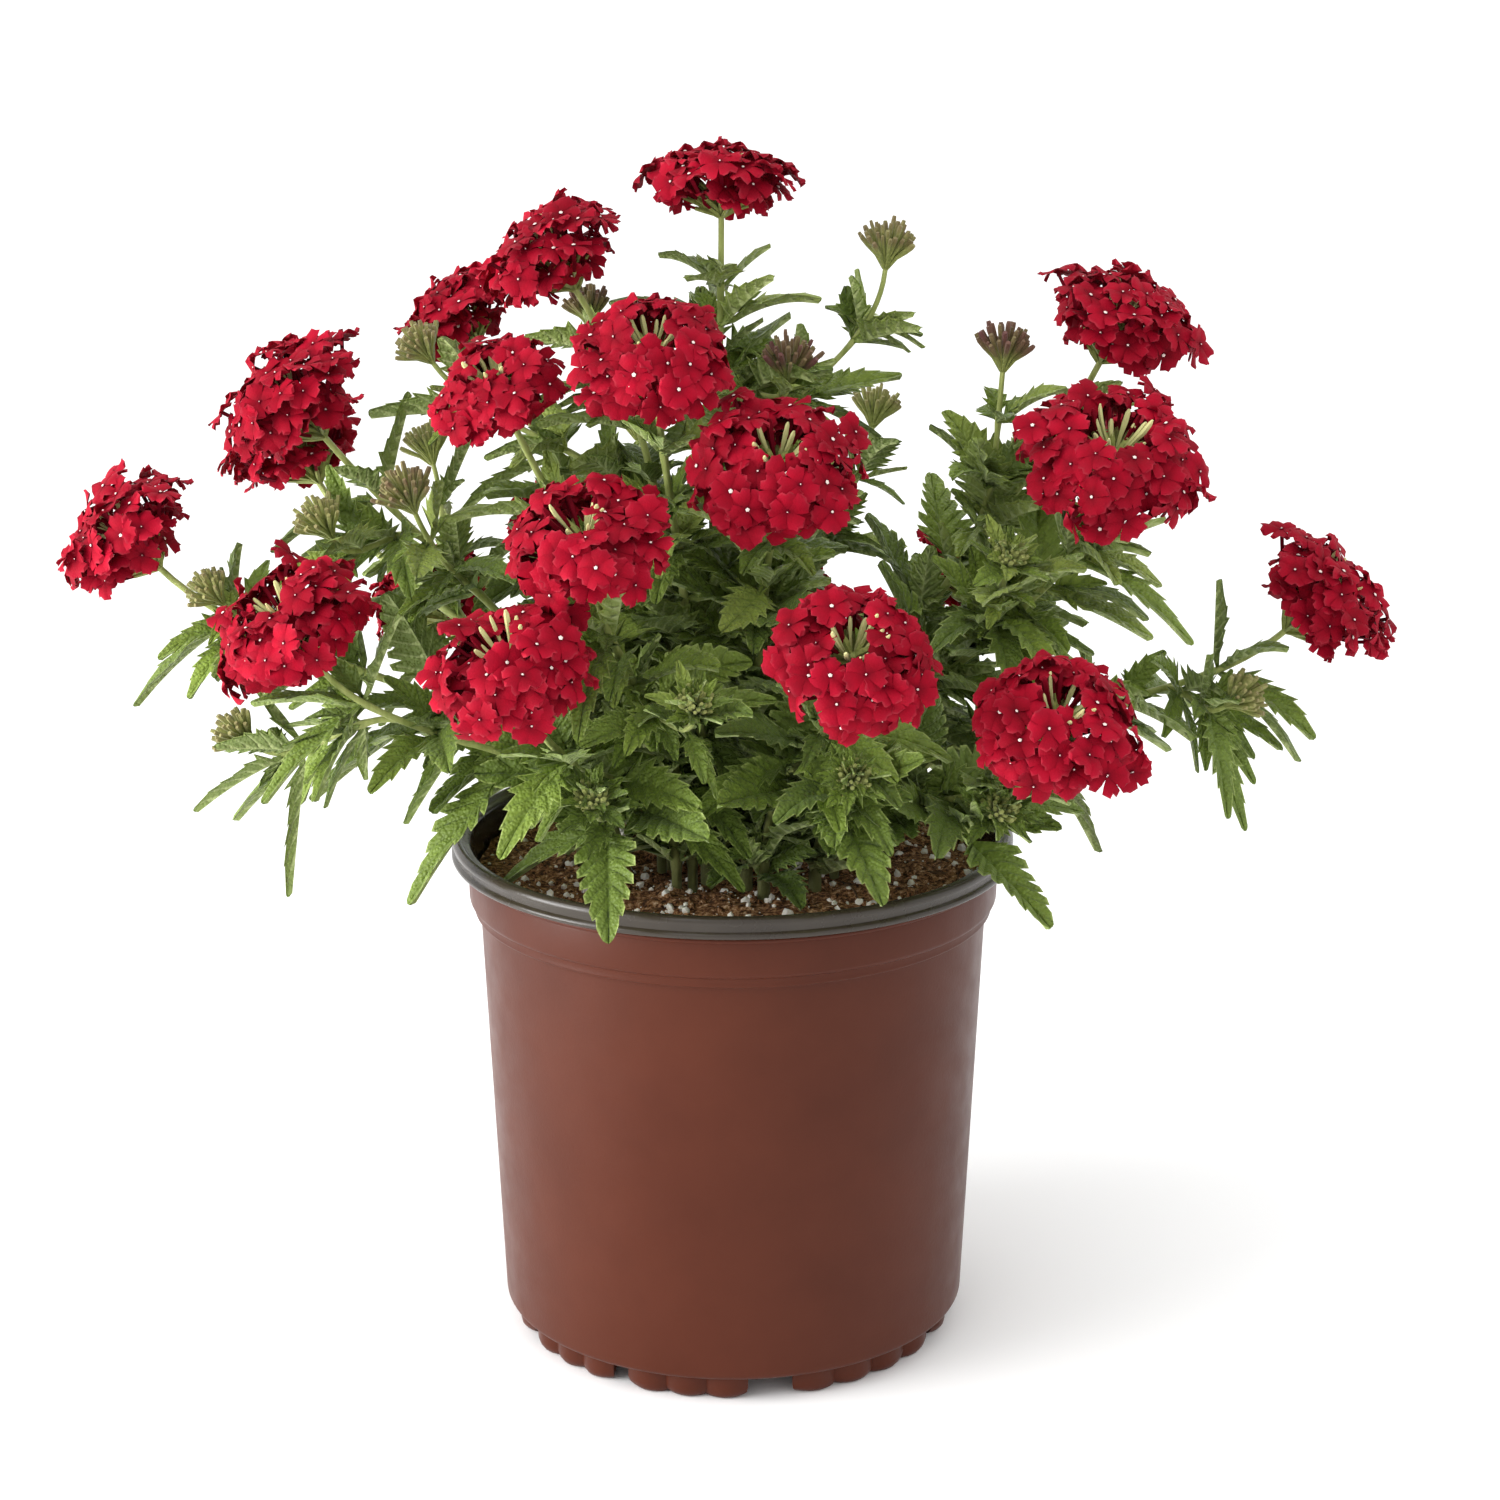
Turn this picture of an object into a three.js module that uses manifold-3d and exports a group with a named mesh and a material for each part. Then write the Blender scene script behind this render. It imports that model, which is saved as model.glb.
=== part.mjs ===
// A red verbena in flower, in its plastic nursery pot.
// Millimetres, +Z up. The origin is on the pot's axis at the level that the pot stands on;
// -Y is the front. The pot, the soil in it, each leafy stem and each flower head is one solid.

import * as THREE from "three";
import { mergeVertices } from "three/addons/utils/BufferGeometryUtils.js";
import Module from "manifold-3d";

const wasm = await Module();
wasm.setup();

// ---------------------------------------------------------------- driving dimensions

// Pot
const POT_SIDES = 28;
const LIP_TOP = 151.6;
const LIP_RADIUS = 82.5;
const LIP_UNDER = 145.2;
const COLLAR_RADIUS = 77.7;
const COLLAR_FOOT = 132.5;
const STEP_HEIGHT = 129.0;
const BODY_TOP_RADIUS = 74.3;
const BODY_FOOT_RADIUS = 69.0;
const BODY_FOOT = 9.7;
const UNDERSIDE = 7.6;
const WALL = 1.9;
const FLOOR_TOP = 10.6;
const FOOT_RADIUS = 66.2;
const FOOT_INNER = 60.5;
const FOOT_NOTCH = 1.5;
const FOOT_TAPER = 1.5;

// The groups of rounded lugs that one half of the pot stands on: the angles where each starts
// and ends, round from +X, and how many lugs it has. The other half is this one, turned round.
const FOOT_GROUPS = [
  [-154, -122.5, 3],
  [-118, -86, 3],
  [-74.5, -27, 4],
  [-23, 22, 4],
];

// Soil
const SOIL_TOP = 141;
const SOIL_SIDES = 14;
const SOIL_GAP = 0.4;
const SOIL_LUMP = 1.5;
const HOLE_DEPTH = 16;
const PERLITE = 8;
const PERLITE_RING = [48, 70];
const PERLITE_SIZE = [1.8, 3];

// Stems: a square section that narrows from the soil to the flower head
const STEM_WIDE = 2.9;
const HOLE_WIDTH = STEM_WIDE + 0.6;
const STEM_NARROW = 1.9;
const STEM_SUNK = HOLE_DEPTH - 0.5;
const STEM_SHARES = [0, 0.25, 0.45, 0.65, 0.84, 1];
const STEM_STRAIGHT = 6;
const SHOOT_WIDE = 2.0;
const SHOOT_NARROW = 1.5;
const SHOOT_SHARE = 0.4;
const BOW = 0.35;
const ROOT_INNER = 8;
const ROOT_SPREAD = 0.215;

// Flower heads, in a unit sphere that is stretched to each head's width and depth
const CORE = 0.52;
const WELL_ANGLE = 22;
const UPPER_ANGLE = 63.43;
const LOWER_ANGLE = 116.57;
const NECK_DROP = 0.78;
const NECK_RADIUS = 2.1;
const PETAL_REACH = 0.4;
const PETAL_NOTCH = 0.62;
const NOTCH_SINK = 0.9;
const PETAL_SPREAD = [0.9, 1.05];
const PETAL_RISE = [0.93, 1.04];
const FACET_SHARE = 0.95;

// Green buds: the flared end of a stem in its flower head's well, and a shoot's tuft
const CENTRE_FOOT = 0.08;
const CENTRE_HEIGHT = 0.45;
const CENTRE_WIDTH = 0.08;
const CENTRE_STAGGER = 0.05;
const TUFT_NECK = 0.9;
const TUFT_TIP = [1, 0.35];
const TUFT_NOTCH = [0.72, -0.12];
const TUFT_MIDDLE = 0.75;

// Leaves: half the outline, as [share of the length, share of the half width]
const LARGE_EDGE = [
  [0.36, 1.0],
  [0.43, 0.72],
  [0.6, 0.84],
  [0.67, 0.54],
  [0.84, 0.44],
];
const SMALL_EDGE = [
  [0.42, 1.0],
  [0.51, 0.66],
  [0.76, 0.56],
];
const MIDRIB = 0.46;
const LEAF_THICK = 1.2;
const LEAF_FOLD = 0.22;
const LARGE_LEAF = 45;

// How a leaf stands: its angle from the stem, its facing between the stem's direction and
// upright, its droop, and how loosely these are drawn (degrees, and shares of the length).
const LEAF_PITCH = 58;
const LEAF_ALONG = 0.6;
const LEAF_UPRIGHT = [0.6, 1.0];
const LEAF_DROOP = [0.1, 0.5];
const LEAF_LENGTH = [0.9, 1.1];
const LEAF_LOOSE = 30;
const LEAF_SWING = 100;
const LEAF_NOD = 60;

// A leaf that finds no room is tried again, each time looser and smaller.
const LEAF_TRIES = 14;
const LEAF_STRAY = 12;
const LEAF_SHRINK = 0.03;
const LEAF_CLEAR = 0.5;
const LEAF_FREE = 0.04;
const ROOM_ROOT = [0.15, 0.5];

// Where the leaf pairs stand, as points of the course that carries them, with the length and
// half width of the leaves there. A rosette's leaves spread out and hardly droop: they have
// a droop range of their own, and "sink" is how steeply their midribs may set out downwards.
const STEM_LEAVES = [
  { point: 2, length: 46, half: 10.5 },
  { point: 3, length: 44, half: 10 },
  { point: 4, length: 37, half: 8.5 },
];
const LONG_STEM = [...STEM_LEAVES, { point: 5, length: 33, half: 7.5 }];
const BUSHY_STEM = [...STEM_LEAVES, { point: 1, length: 34, half: 8 }];
const SHOOT_LEAVES = [{ point: 1, length: 30, half: 7 }];
const LONG_SHOOT = [
  { point: 1, length: 34, half: 8 },
  { point: 2, length: 27, half: 6.5 },
];
const CROWN = [
  { point: 1, length: 34, half: 8 },
  { point: 2, length: 31, half: 7.5 },
  { point: 3, length: 27, half: 6.5 },
];
const SPREAD = { droop: [0, 0.2], sink: 0.25 };
const ROSETTE = [
  { point: 1, length: 44, half: 10.5, ...SPREAD },
  { point: 2, length: 38, half: 9, ...SPREAD },
];

// Each flower head: its centre, how wide and deep it is, and which way it faces
// (degrees round from +X, degrees from upright). Some have leaves further up or down their
// stems than the others.
const HEADS = {
  top: { at: [-3, 0, 339], wide: 42, deep: 23, faces: [90, 6], leaves: LONG_STEM },
  top_left: { at: [-49, -15, 321], wide: 43, deep: 28, faces: [186, 32] },
  back_left: { at: [-80, 35, 297], wide: 37, deep: 24, faces: [172, 36] },
  mid_left: { at: [-64, -38, 288], wide: 36, deep: 25, faces: [235, 34] },
  upper_front: { at: [-21, -55, 299], wide: 46, deep: 32, faces: [262, 30], leaves: BUSHY_STEM },
  far_left: { at: [-124, 0, 278], wide: 47, deep: 33, faces: [188, 38], leaves: LONG_STEM },
  end_left: { at: [-171, -10, 241], wide: 44, deep: 31, faces: [188, 42], leaves: LONG_STEM },
  low_left: { at: [-119, -60, 227], wide: 47, deep: 34, faces: [215, 34], leaves: LONG_STEM },
  front: { at: [-38, -85, 255], wide: 45, deep: 31, faces: [250, 26], leaves: LONG_STEM },
  low_front: { at: [-56, -100, 225], wide: 46, deep: 36, faces: [240, 30] },
  mid_front: { at: [12, -65, 271], wide: 49, deep: 33, faces: [275, 36], leaves: BUSHY_STEM },
  low_middle: { at: [31, -105, 229], wide: 46, deep: 34, faces: [280, 42], leaves: BUSHY_STEM },
  top_right: { at: [109, 0, 300], wide: 46, deep: 31, faces: [340, 26] },
  mid_right: { at: [103, -45, 270], wide: 54, deep: 37, faces: [285, 30], leaves: LONG_STEM },
  end_right: { at: [169, 0, 220], wide: 47, deep: 33, faces: [352, 46], leaves: LONG_STEM },
  low_right: { at: [85, -95, 209], wide: 47, deep: 37, faces: [290, 36], leaves: BUSHY_STEM },
  back: { at: [14, 86, 242], wide: 45, deep: 31, faces: [92, 30], leaves: BUSHY_STEM },
  back_right: { at: [118, 62, 250], wide: 46, deep: 32, faces: [30, 32] },
  low_back_right: { at: [77, 98, 204], wide: 45, deep: 32, faces: [56, 42] },
  back_middle: { at: [-48, 98, 226], wide: 45, deep: 32, faces: [118, 34], leaves: BUSHY_STEM },
  low_back: { at: [12, 108, 196], wide: 44, deep: 32, faces: [88, 50], leaves: BUSHY_STEM },
  back_far_left: { at: [-132, 60, 254], wide: 45, deep: 32, faces: [155, 34] },
  low_back_left: { at: [-96, 93, 200], wide: 44, deep: 31, faces: [133, 44] },
};

// Side shoots that end in a closed bud head: the stem that each leaves and the point of its
// course under it, where the bud head's middle is, how wide that is, and which way it faces.
const SHOOTS = [
  { on: "top", from: 3, at: [44, 10, 321], wide: 17, faces: [0, 6], leaves: CROWN },
  { on: "top", from: 4, at: [16, -20, 293], wide: 17, faces: [300, 8] },
  { on: "top_right", from: 3, at: [76, -10, 295], wide: 17, faces: [0, 4] },
  { on: "top_left", from: 3, at: [-88, 0, 294], wide: 15, faces: [190, 35] },
  { on: "top_left", from: 4, at: [-41, 8, 304], wide: 14, faces: [120, 20] },
  { on: "far_left", from: 4, at: [-115, -20, 248], wide: 16, faces: [200, 30], leaves: LONG_SHOOT },
  { on: "end_left", from: 4, at: [-147, -20, 228], wide: 14, faces: [200, 40], leaves: LONG_SHOOT },
  { on: "low_left", from: 4, at: [-138, -40, 192], wide: 15, faces: [195, 50], leaves: LONG_SHOOT },
  { on: "far_left", from: 3, at: [-90, -30, 258], wide: 17, faces: [220, 25] },
  { on: "end_right", from: 4, at: [145, -20, 197], wide: 15, faces: [335, 55], leaves: LONG_SHOOT },
  { on: "low_front", from: 2, at: [-37, -84, 188], wide: 17, faces: [262, 35], leaves: ROSETTE },
  { on: "low_middle", from: 2, at: [32, -94, 197], wide: 17, faces: [275, 40], leaves: ROSETTE },
  { on: "low_right", from: 2, at: [73, -80, 184], wide: 17, faces: [300, 40], leaves: ROSETTE },
  { on: "front", from: 3, at: [-9, -98, 218], wide: 16, faces: [280, 30] },
  { on: "mid_right", from: 3, at: [76, -48, 246], wide: 16, faces: [290, 25] },
  { on: "back", from: 3, at: [44, 84, 262], wide: 16, faces: [60, 20] },
  { on: "back_far_left", from: 3, at: [-94, 74, 252], wide: 16, faces: [130, 25] },
  { on: "back_middle", from: 3, at: [-30, 84, 258], wide: 16, faces: [100, 20] },
];

// ---------------------------------------------------------------- small helpers

const RADIANS = Math.PI / 180;
const UP = new THREE.Vector3(0, 0, 1);

const vec = (xyz) => new THREE.Vector3(...xyz);

function polar(degrees, radius, z = 0) {
  return new THREE.Vector3(
    radius * Math.cos(degrees * RADIANS),
    radius * Math.sin(degrees * RADIANS),
    z,
  );
}

function facing([round, tilt]) {
  return polar(round, Math.sin(tilt * RADIANS), Math.cos(tilt * RADIANS));
}

// A number from 0 to 1 that depends on its keys alone.
function chance(...keys) {
  let hash = 2166136261;
  for (const key of keys) {
    hash = Math.imul(hash ^ key, 16777619);
    hash ^= hash >>> 13;
    hash = Math.imul(hash, 1540483477);
    hash ^= hash >>> 15;
  }
  return (hash >>> 0) / 4294967296;
}

const between = (low, high, share) => low + (high - low) * share;

function indexed(vertices, triangles) {
  const positions = vertices.flatMap((v) => [v.x, v.y, v.z]);
  return new THREE.BufferGeometry()
    .setAttribute("position", new THREE.Float32BufferAttribute(positions, 3))
    .setIndex(triangles.flat());
}

function solidOf(geometry) {
  const bare = new THREE.BufferGeometry().setAttribute("position", geometry.attributes.position);
  const merged = mergeVertices(geometry.index ? bare.setIndex(geometry.index) : bare, 1e-4);
  const faces = merged.index.array;
  const kept = [];
  for (let i = 0; i < faces.length; i += 3) {
    const [a, b, c] = faces.subarray(i, i + 3);
    if (a !== b && b !== c && c !== a) kept.push(a, b, c);
  }
  return new wasm.Manifold(
    new wasm.Mesh({
      numProp: 3,
      vertProperties: new Float32Array(merged.attributes.position.array),
      triVerts: new Uint32Array(kept),
    }),
  );
}

function geometryOf(solid) {
  const mesh = solid.getMesh();
  const geometry = new THREE.BufferGeometry()
    .setAttribute("position", new THREE.BufferAttribute(mesh.vertProperties, 3))
    .setIndex(new THREE.BufferAttribute(mesh.triVerts, 1));
  geometry.computeVertexNormals();
  return geometry;
}

function joined(solids) {
  return solids.reduce((whole, piece) => whole.add(piece));
}

// Moves each vertex of a geometry to where the function sends it.
function bent(geometry, place) {
  const points = geometry.attributes.position;
  const point = new THREE.Vector3();
  for (let i = 0; i < points.count; i++) {
    place(point.fromBufferAttribute(points, i), i);
    points.setXYZ(i, point.x, point.y, point.z);
  }
  return geometry;
}

function turned(geometry) {
  return geometry.rotateX(Math.PI / 2);
}

function matrixOf(centre, axis, wide, deep) {
  const spin = new THREE.Quaternion().setFromUnitVectors(UP, axis);
  return new THREE.Matrix4().compose(centre, spin, new THREE.Vector3(wide, wide, deep));
}

// ---------------------------------------------------------------- pot and soil

function innerRadius(z) {
  const slope = (BODY_TOP_RADIUS - BODY_FOOT_RADIUS) / (STEP_HEIGHT - BODY_FOOT);
  return BODY_FOOT_RADIUS + slope * (z - BODY_FOOT) - WALL;
}

function potBody() {
  const outline = [
    [0, UNDERSIDE],
    [BODY_FOOT_RADIUS - 2.4, UNDERSIDE],
    [BODY_FOOT_RADIUS, BODY_FOOT],
    [BODY_TOP_RADIUS, STEP_HEIGHT],
    [COLLAR_RADIUS - 0.4, COLLAR_FOOT],
    [COLLAR_RADIUS, LIP_UNDER - 0.6],
    [LIP_RADIUS - 0.6, LIP_UNDER],
    [LIP_RADIUS, LIP_UNDER + 1.6],
    [LIP_RADIUS - 1.3, LIP_TOP - 1],
    [LIP_RADIUS - 3, LIP_TOP],
    [COLLAR_RADIUS - 0.3, LIP_TOP - 1.6],
    [COLLAR_RADIUS - WALL + 0.2, LIP_UNDER - 2],
    [COLLAR_RADIUS - WALL - 0.4, COLLAR_FOOT + 0.5],
    [innerRadius(STEP_HEIGHT - 1), STEP_HEIGHT - 1],
    [innerRadius(FLOOR_TOP), FLOOR_TOP],
    [0, FLOOR_TOP],
  ].map(([r, z]) => new THREE.Vector2(r, z));
  return solidOf(turned(new THREE.LatheGeometry(outline, POT_SIDES)));
}

// One group of rounded lugs on the foot ring, seen from above.
function footGroup(from, to, lugs) {
  const outline = new THREE.Shape();
  for (let i = 0; i <= 2 * lugs; i++) {
    const radius = FOOT_RADIUS - (i % 2 ? 0 : FOOT_NOTCH);
    const { x, y } = polar(between(from, to, i / (2 * lugs)), radius);
    outline[i ? "lineTo" : "moveTo"](x, y);
  }
  for (let i = lugs; i >= 0; i--) {
    const { x, y } = polar(between(from + FOOT_TAPER, to - FOOT_TAPER, i / lugs), FOOT_INNER);
    outline.lineTo(x, y);
  }
  return solidOf(new THREE.ExtrudeGeometry(outline, { depth: UNDERSIDE + 1.5, bevelEnabled: false }));
}

function pot() {
  const groups = [0, 180].flatMap((turn) =>
    FOOT_GROUPS.map(([from, to, lugs]) => footGroup(from + turn, to + turn, lugs)),
  );
  return joined([potBody(), ...groups]);
}

function lump(x, y) {
  return (
    SOIL_LUMP *
    (0.5 * Math.sin(0.11 * x + 0.9) * Math.cos(0.13 * y) +
      0.3 * Math.sin(0.29 * y + 0.07 * x) +
      0.2 * Math.cos(0.37 * x - 0.21 * y))
  );
}

function soilBody() {
  const bottom = FLOOR_TOP + SOIL_GAP;
  const rim = COLLAR_RADIUS - WALL - 0.4 - SOIL_GAP;
  const waist = innerRadius(STEP_HEIGHT - 1) - SOIL_GAP;
  const profile = [
    [0, bottom],
    [innerRadius(bottom) - SOIL_GAP, bottom],
    [waist, STEP_HEIGHT - 1],
    [rim, COLLAR_FOOT + 1],
    [rim, SOIL_TOP],
    [50, SOIL_TOP],
    [25, SOIL_TOP],
    [0, SOIL_TOP],
  ].map(([r, z]) => new THREE.Vector2(r, z));
  const lathe = turned(new THREE.LatheGeometry(profile, SOIL_SIDES));
  return solidOf(
    bent(lathe, (p) => {
      if (p.z > SOIL_TOP - 1) p.z += lump(p.x, p.y);
    }),
  );
}

function perliteGrain(i) {
  const at = polar(360 * chance(7, i), between(...PERLITE_RING, chance(8, i)));
  const size = between(...PERLITE_SIZE, chance(9, i));
  const grain = new THREE.OctahedronGeometry(size);
  grain.rotateX(chance(10, i)).rotateZ(3 * chance(11, i));
  return solidOf(grain.translate(at.x, at.y, SOIL_TOP + lump(at.x, at.y) + 0.1));
}

function soil(stems) {
  const grains = Array.from({ length: PERLITE }, (_, i) => perliteGrain(i));
  const holes = stems.map((stem) => {
    const hole = new THREE.BoxGeometry(HOLE_WIDTH, HOLE_WIDTH, 2 * HOLE_DEPTH);
    hole.rotateZ(stem.turn * RADIANS);
    return solidOf(hole.translate(stem.root.x, stem.root.y, SOIL_TOP));
  });
  return joined([soilBody(), ...grains]).subtract(joined(holes));
}

// ---------------------------------------------------------------- courses of stems and shoots

// A flower head's stem rises straight out of the soil on the head's own side of the pot,
// further out the further out the head is, and meets the head along its axis.
function stemCourse(name, index) {
  const head = HEADS[name];
  const centre = vec(head.at);
  const axis = facing(head.faces);
  const turn = Math.atan2(centre.y, centre.x) / RADIANS;
  const root = polar(turn, ROOT_INNER + ROOT_SPREAD * Math.hypot(centre.x, centre.y));
  const along = (share) => centre.clone().addScaledVector(axis, share * head.deep);
  const curve = bow(root.clone().setZ(SOIL_TOP + STEM_STRAIGHT), UP, along(-0.5 * NECK_DROP), axis);
  const points = [
    root.clone().setZ(SOIL_TOP - STEM_SUNK),
    ...STEM_SHARES.map((share) => curve.getPoint(share)),
    along(CENTRE_FOOT),
    along(CENTRE_HEIGHT),
  ];
  const leaves = head.leaves ?? STEM_LEAVES;
  const course = { name, index, head, centre, axis, turn, root, points, leaves };
  const rings = ringsOf(course, polar(turn, 1), [STEM_WIDE, STEM_NARROW]);
  Object.assign(rings.at(-1), {
    half: CENTRE_WIDTH * head.wide,
    rise: CENTRE_STAGGER * head.deep,
  });
  return { ...course, rings };
}

// A side shoot bends from its stem's own direction to the way that its bud head faces.
function shootCourse(shoot, index, stems) {
  const { points: path } = stems.find(({ name }) => name === shoot.on);
  const [from, to] = [path[shoot.from], path[shoot.from + 1]];
  const foot = from.clone().lerp(to, SHOOT_SHARE);
  const centre = vec(shoot.at);
  const axis = facing(shoot.faces);
  const neck = centre.clone().addScaledVector(axis, -0.5 * TUFT_NECK * shoot.wide);
  const curve = bow(foot, to.clone().sub(from).normalize(), neck, axis);
  const leaves = shoot.leaves ?? SHOOT_LEAVES;
  const course = {
    name: shoot.on,
    index: 100 + index,
    centre,
    axis,
    points: curve.getPoints(leaves.length + 1),
    leaves,
    tuft: shoot.wide / 2,
  };
  const outward = centre.clone().sub(foot).setZ(0).normalize();
  return { ...course, rings: ringsOf(course, outward, [SHOOT_WIDE, SHOOT_NARROW]) };
}

// A curve that starts in one direction and ends in another.
function bow(from, leaving, to, arriving) {
  const reach = BOW * from.distanceTo(to);
  return new THREE.CubicBezierCurve3(
    from,
    from.clone().addScaledVector(leaving, reach),
    to.clone().addScaledVector(arriving, -reach),
    to,
  );
}

// The square sections of a stem or shoot, without twist. Where a leaf pair stands, a second
// section follows close on the first, and the leaves grow on the faces between the two.
function ringsOf({ points, axis, leaves }, outward, widths) {
  const last = points.length - 1;
  return points.flatMap((point, i) => {
    const before = points[Math.max(i - 1, 0)];
    const along = i === last ? axis.clone() : points[i + 1].clone().sub(before).normalize();
    const side = UP.clone().cross(outward);
    side.addScaledVector(along, -side.dot(along)).normalize();
    const over = along.clone().cross(side);
    const half = between(widths[0], widths[1], i / last) / 2;
    const ring = { point, along, side, over, half, rise: 0 };
    const order = leaves.findIndex((pair) => pair.point === i);
    if (order < 0) return [ring];
    const close = point.clone().addScaledVector(along, LEAF_THICK);
    return [{ ...ring, order }, { ...ring, point: close }];
  });
}

// Corner 0 is on the +side, +over side, and face 0 is the +over face after it.
function cornersOf({ point, along, side, over, half, rise }) {
  return [[1, 1], [-1, 1], [-1, -1], [1, -1]].map(([a, b]) =>
    point
      .clone()
      .addScaledVector(side, a * half)
      .addScaledVector(over, b * half)
      .addScaledVector(along, a * b * rise),
  );
}

// A stem or shoot with its leaves in one mesh: a square bar whose faces carry the leaves.
function bar(course, leaves) {
  const { rings, tuft } = course;
  const vertices = rings.flatMap(cornersOf);
  const triangles = [[0, 2, 1], [0, 3, 2]];
  for (let i = 0; i + 1 < rings.length; i++) {
    for (let face = 0; face < 4; face++) {
      const [a, b] = [4 * i + face, 4 * i + ((face + 1) % 4)];
      const leaf = leaves.find((one) => one.ring === i && one.face === face);
      if (leaf) addBlade(vertices, triangles, [a, b, b + 4, a + 4], leaf, 0, LEAF_THICK);
      else triangles.push([a, b, b + 4], [a, b + 4, a + 4]);
    }
  }
  const end = 4 * rings.length - 4;
  if (tuft) addTuft(vertices, triangles, end, course);
  else triangles.push([end, end + 1, end + 2], [end, end + 2, end + 3]);
  return solidOf(indexed(vertices, triangles));
}

// A tuft of closed buds on a shoot's end: a cup whose rim runs up and down between the buds'
// tips, three edges of it to each side of the shoot.
function addTuft(vertices, triangles, end, { rings, centre, axis, tuft }) {
  const { side, over } = rings.at(-1);
  const rim = vertices.length;
  for (let i = 0; i < 12; i++) {
    const angle = (45 + 30 * i) * RADIANS;
    const [radius, height] = i % 2 ? TUFT_NOTCH : TUFT_TIP;
    const spot = centre.clone().addScaledVector(side, tuft * radius * Math.cos(angle));
    spot.addScaledVector(over, tuft * radius * Math.sin(angle));
    vertices.push(spot.addScaledVector(axis, tuft * height));
  }
  const middle = vertices.push(centre.clone().addScaledVector(axis, tuft * TUFT_MIDDLE)) - 1;
  for (let i = 0; i < 12; i++) {
    const [here, next] = [rim + i, rim + ((i + 1) % 12)];
    const corner = end + Math.floor((i + 1) / 3) % 4;
    triangles.push([here, corner, next], [middle, here, next]);
    if (i % 3 === 2) triangles.push([here, end + Math.floor(i / 3), corner]);
  }
}

// ---------------------------------------------------------------- flower heads

// A ring of five corners of the head's core.
function coreRing(angle, phase) {
  return Array.from({ length: 5 }, (_, k) => facing([72 * k + phase, angle]));
}

// The corner of its facet that carries each of a floret's ten petal edges, counted from the
// petal that points away from the first corner, or from the well.
const CARRIERS = {
  3: [2, 2, 2, 2, 0, 0, 1, 1, 1, 1],
  4: [2, 2, 2, 3, 3, 0, 0, 1, 1, 1],
};

// How far a facet reaches from its middle in a direction, on the plane that touches the
// sphere there. The facet's corners are given on that plane.
function facetReach(corners, x, y) {
  return Math.min(
    ...corners.map(([x0, y0], i) => {
      const [x1, y1] = corners[(i + 1) % corners.length];
      const [nx, ny] = [y1 - y0, x0 - x1];
      const away = nx * x + ny * y;
      return away > 1e-9 ? (nx * x0 + ny * y0) / away : Infinity;
    }),
  );
}

// A floret stands on a facet of the core: its tube widens from the facet's corners to the
// edge of its five petals. It keeps inside the facet's own cone, so florets never cross.
function addFloret(vertices, triangles, corners, key) {
  const count = corners.length;
  const places = corners.map((corner) => vertices[corner].clone().normalize());
  const middle = places.reduce((sum, p) => sum.clone().add(p)).normalize();
  const toward = places[0].clone();
  if (count === 4) toward.add(places[3]);
  toward.addScaledVector(middle, -toward.dot(middle)).normalize();
  const right = toward.clone().cross(middle);
  const flat = places.map((p) => [p.dot(right) / p.dot(middle), p.dot(toward) / p.dot(middle)]);
  const first = vertices.length;
  for (let j = 0; j < 10; j++) {
    const isTip = j % 2 === 0;
    const angle = (270 + 36 * j) * RADIANS;
    const [x, y] = [Math.cos(angle), Math.sin(angle)];
    const wanted = PETAL_REACH * (isTip ? between(...PETAL_SPREAD, chance(1, key, j)) : PETAL_NOTCH);
    const reach = Math.min(wanted, FACET_SHARE * facetReach(flat, x, y));
    const out = isTip ? between(...PETAL_RISE, chance(2, key, j)) : NOTCH_SINK;
    const petal = middle.clone().addScaledVector(right, reach * x).addScaledVector(toward, reach * y);
    vertices.push(petal.normalize().multiplyScalar(out));
  }
  const star = (j) => first + ((j + 10) % 10);
  const carrier = (j) => corners[CARRIERS[count][(j + 10) % 10]];
  for (let j = 0; j < 10; j++) {
    triangles.push([star(j), carrier(j), star(j + 1)]);
    if (carrier(j - 1) !== carrier(j)) triangles.push([star(j), carrier(j - 1), carrier(j)]);
    if (j % 2 === 0) triangles.push([star(j - 1), star(j), star(j + 1)]);
  }
  triangles.push([star(1), star(3), star(5)], [star(1), star(5), star(7)], [star(1), star(7), star(9)]);
}

// A flower head: five florets round the well in its top, ten round its side, a cone of
// tubes under them, and a bore from the neck to the well for the stem's end.
function flowerHead({ head, centre, axis, index }) {
  const neckRadius = NECK_RADIUS / (head.wide / 2);
  const neck = Array.from({ length: 5 }, (_, k) => polar(72 * k + 36, neckRadius, -NECK_DROP));
  const rings = [coreRing(WELL_ANGLE, 0), coreRing(UPPER_ANGLE, 0), coreRing(LOWER_ANGLE, 36)];
  const vertices = [...rings.flat().map((v) => v.multiplyScalar(CORE)), ...neck];
  const triangles = [];
  for (let k = 0; k < 5; k++) {
    const next = (k + 1) % 5;
    const [well, well2] = [k, next];
    const [upper, upper2] = [5 + k, 5 + next];
    const [lower, lower2] = [10 + k, 10 + next];
    const [foot, foot2] = [15 + k, 15 + next];
    const key = 100 * index + 3 * k;
    addFloret(vertices, triangles, [well, upper, upper2, well2], key);
    addFloret(vertices, triangles, [lower, upper2, upper], key + 1);
    addFloret(vertices, triangles, [upper2, lower, lower2], key + 2);
    triangles.push([lower, foot, foot2], [lower, foot2, lower2]);
    triangles.push([well, well2, foot], [well2, foot2, foot]);
  }
  const size = matrixOf(centre, axis, head.wide / 2, head.deep / 2);
  return indexed(vertices, triangles).applyMatrix4(size);
}

// ---------------------------------------------------------------- leaves

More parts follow.
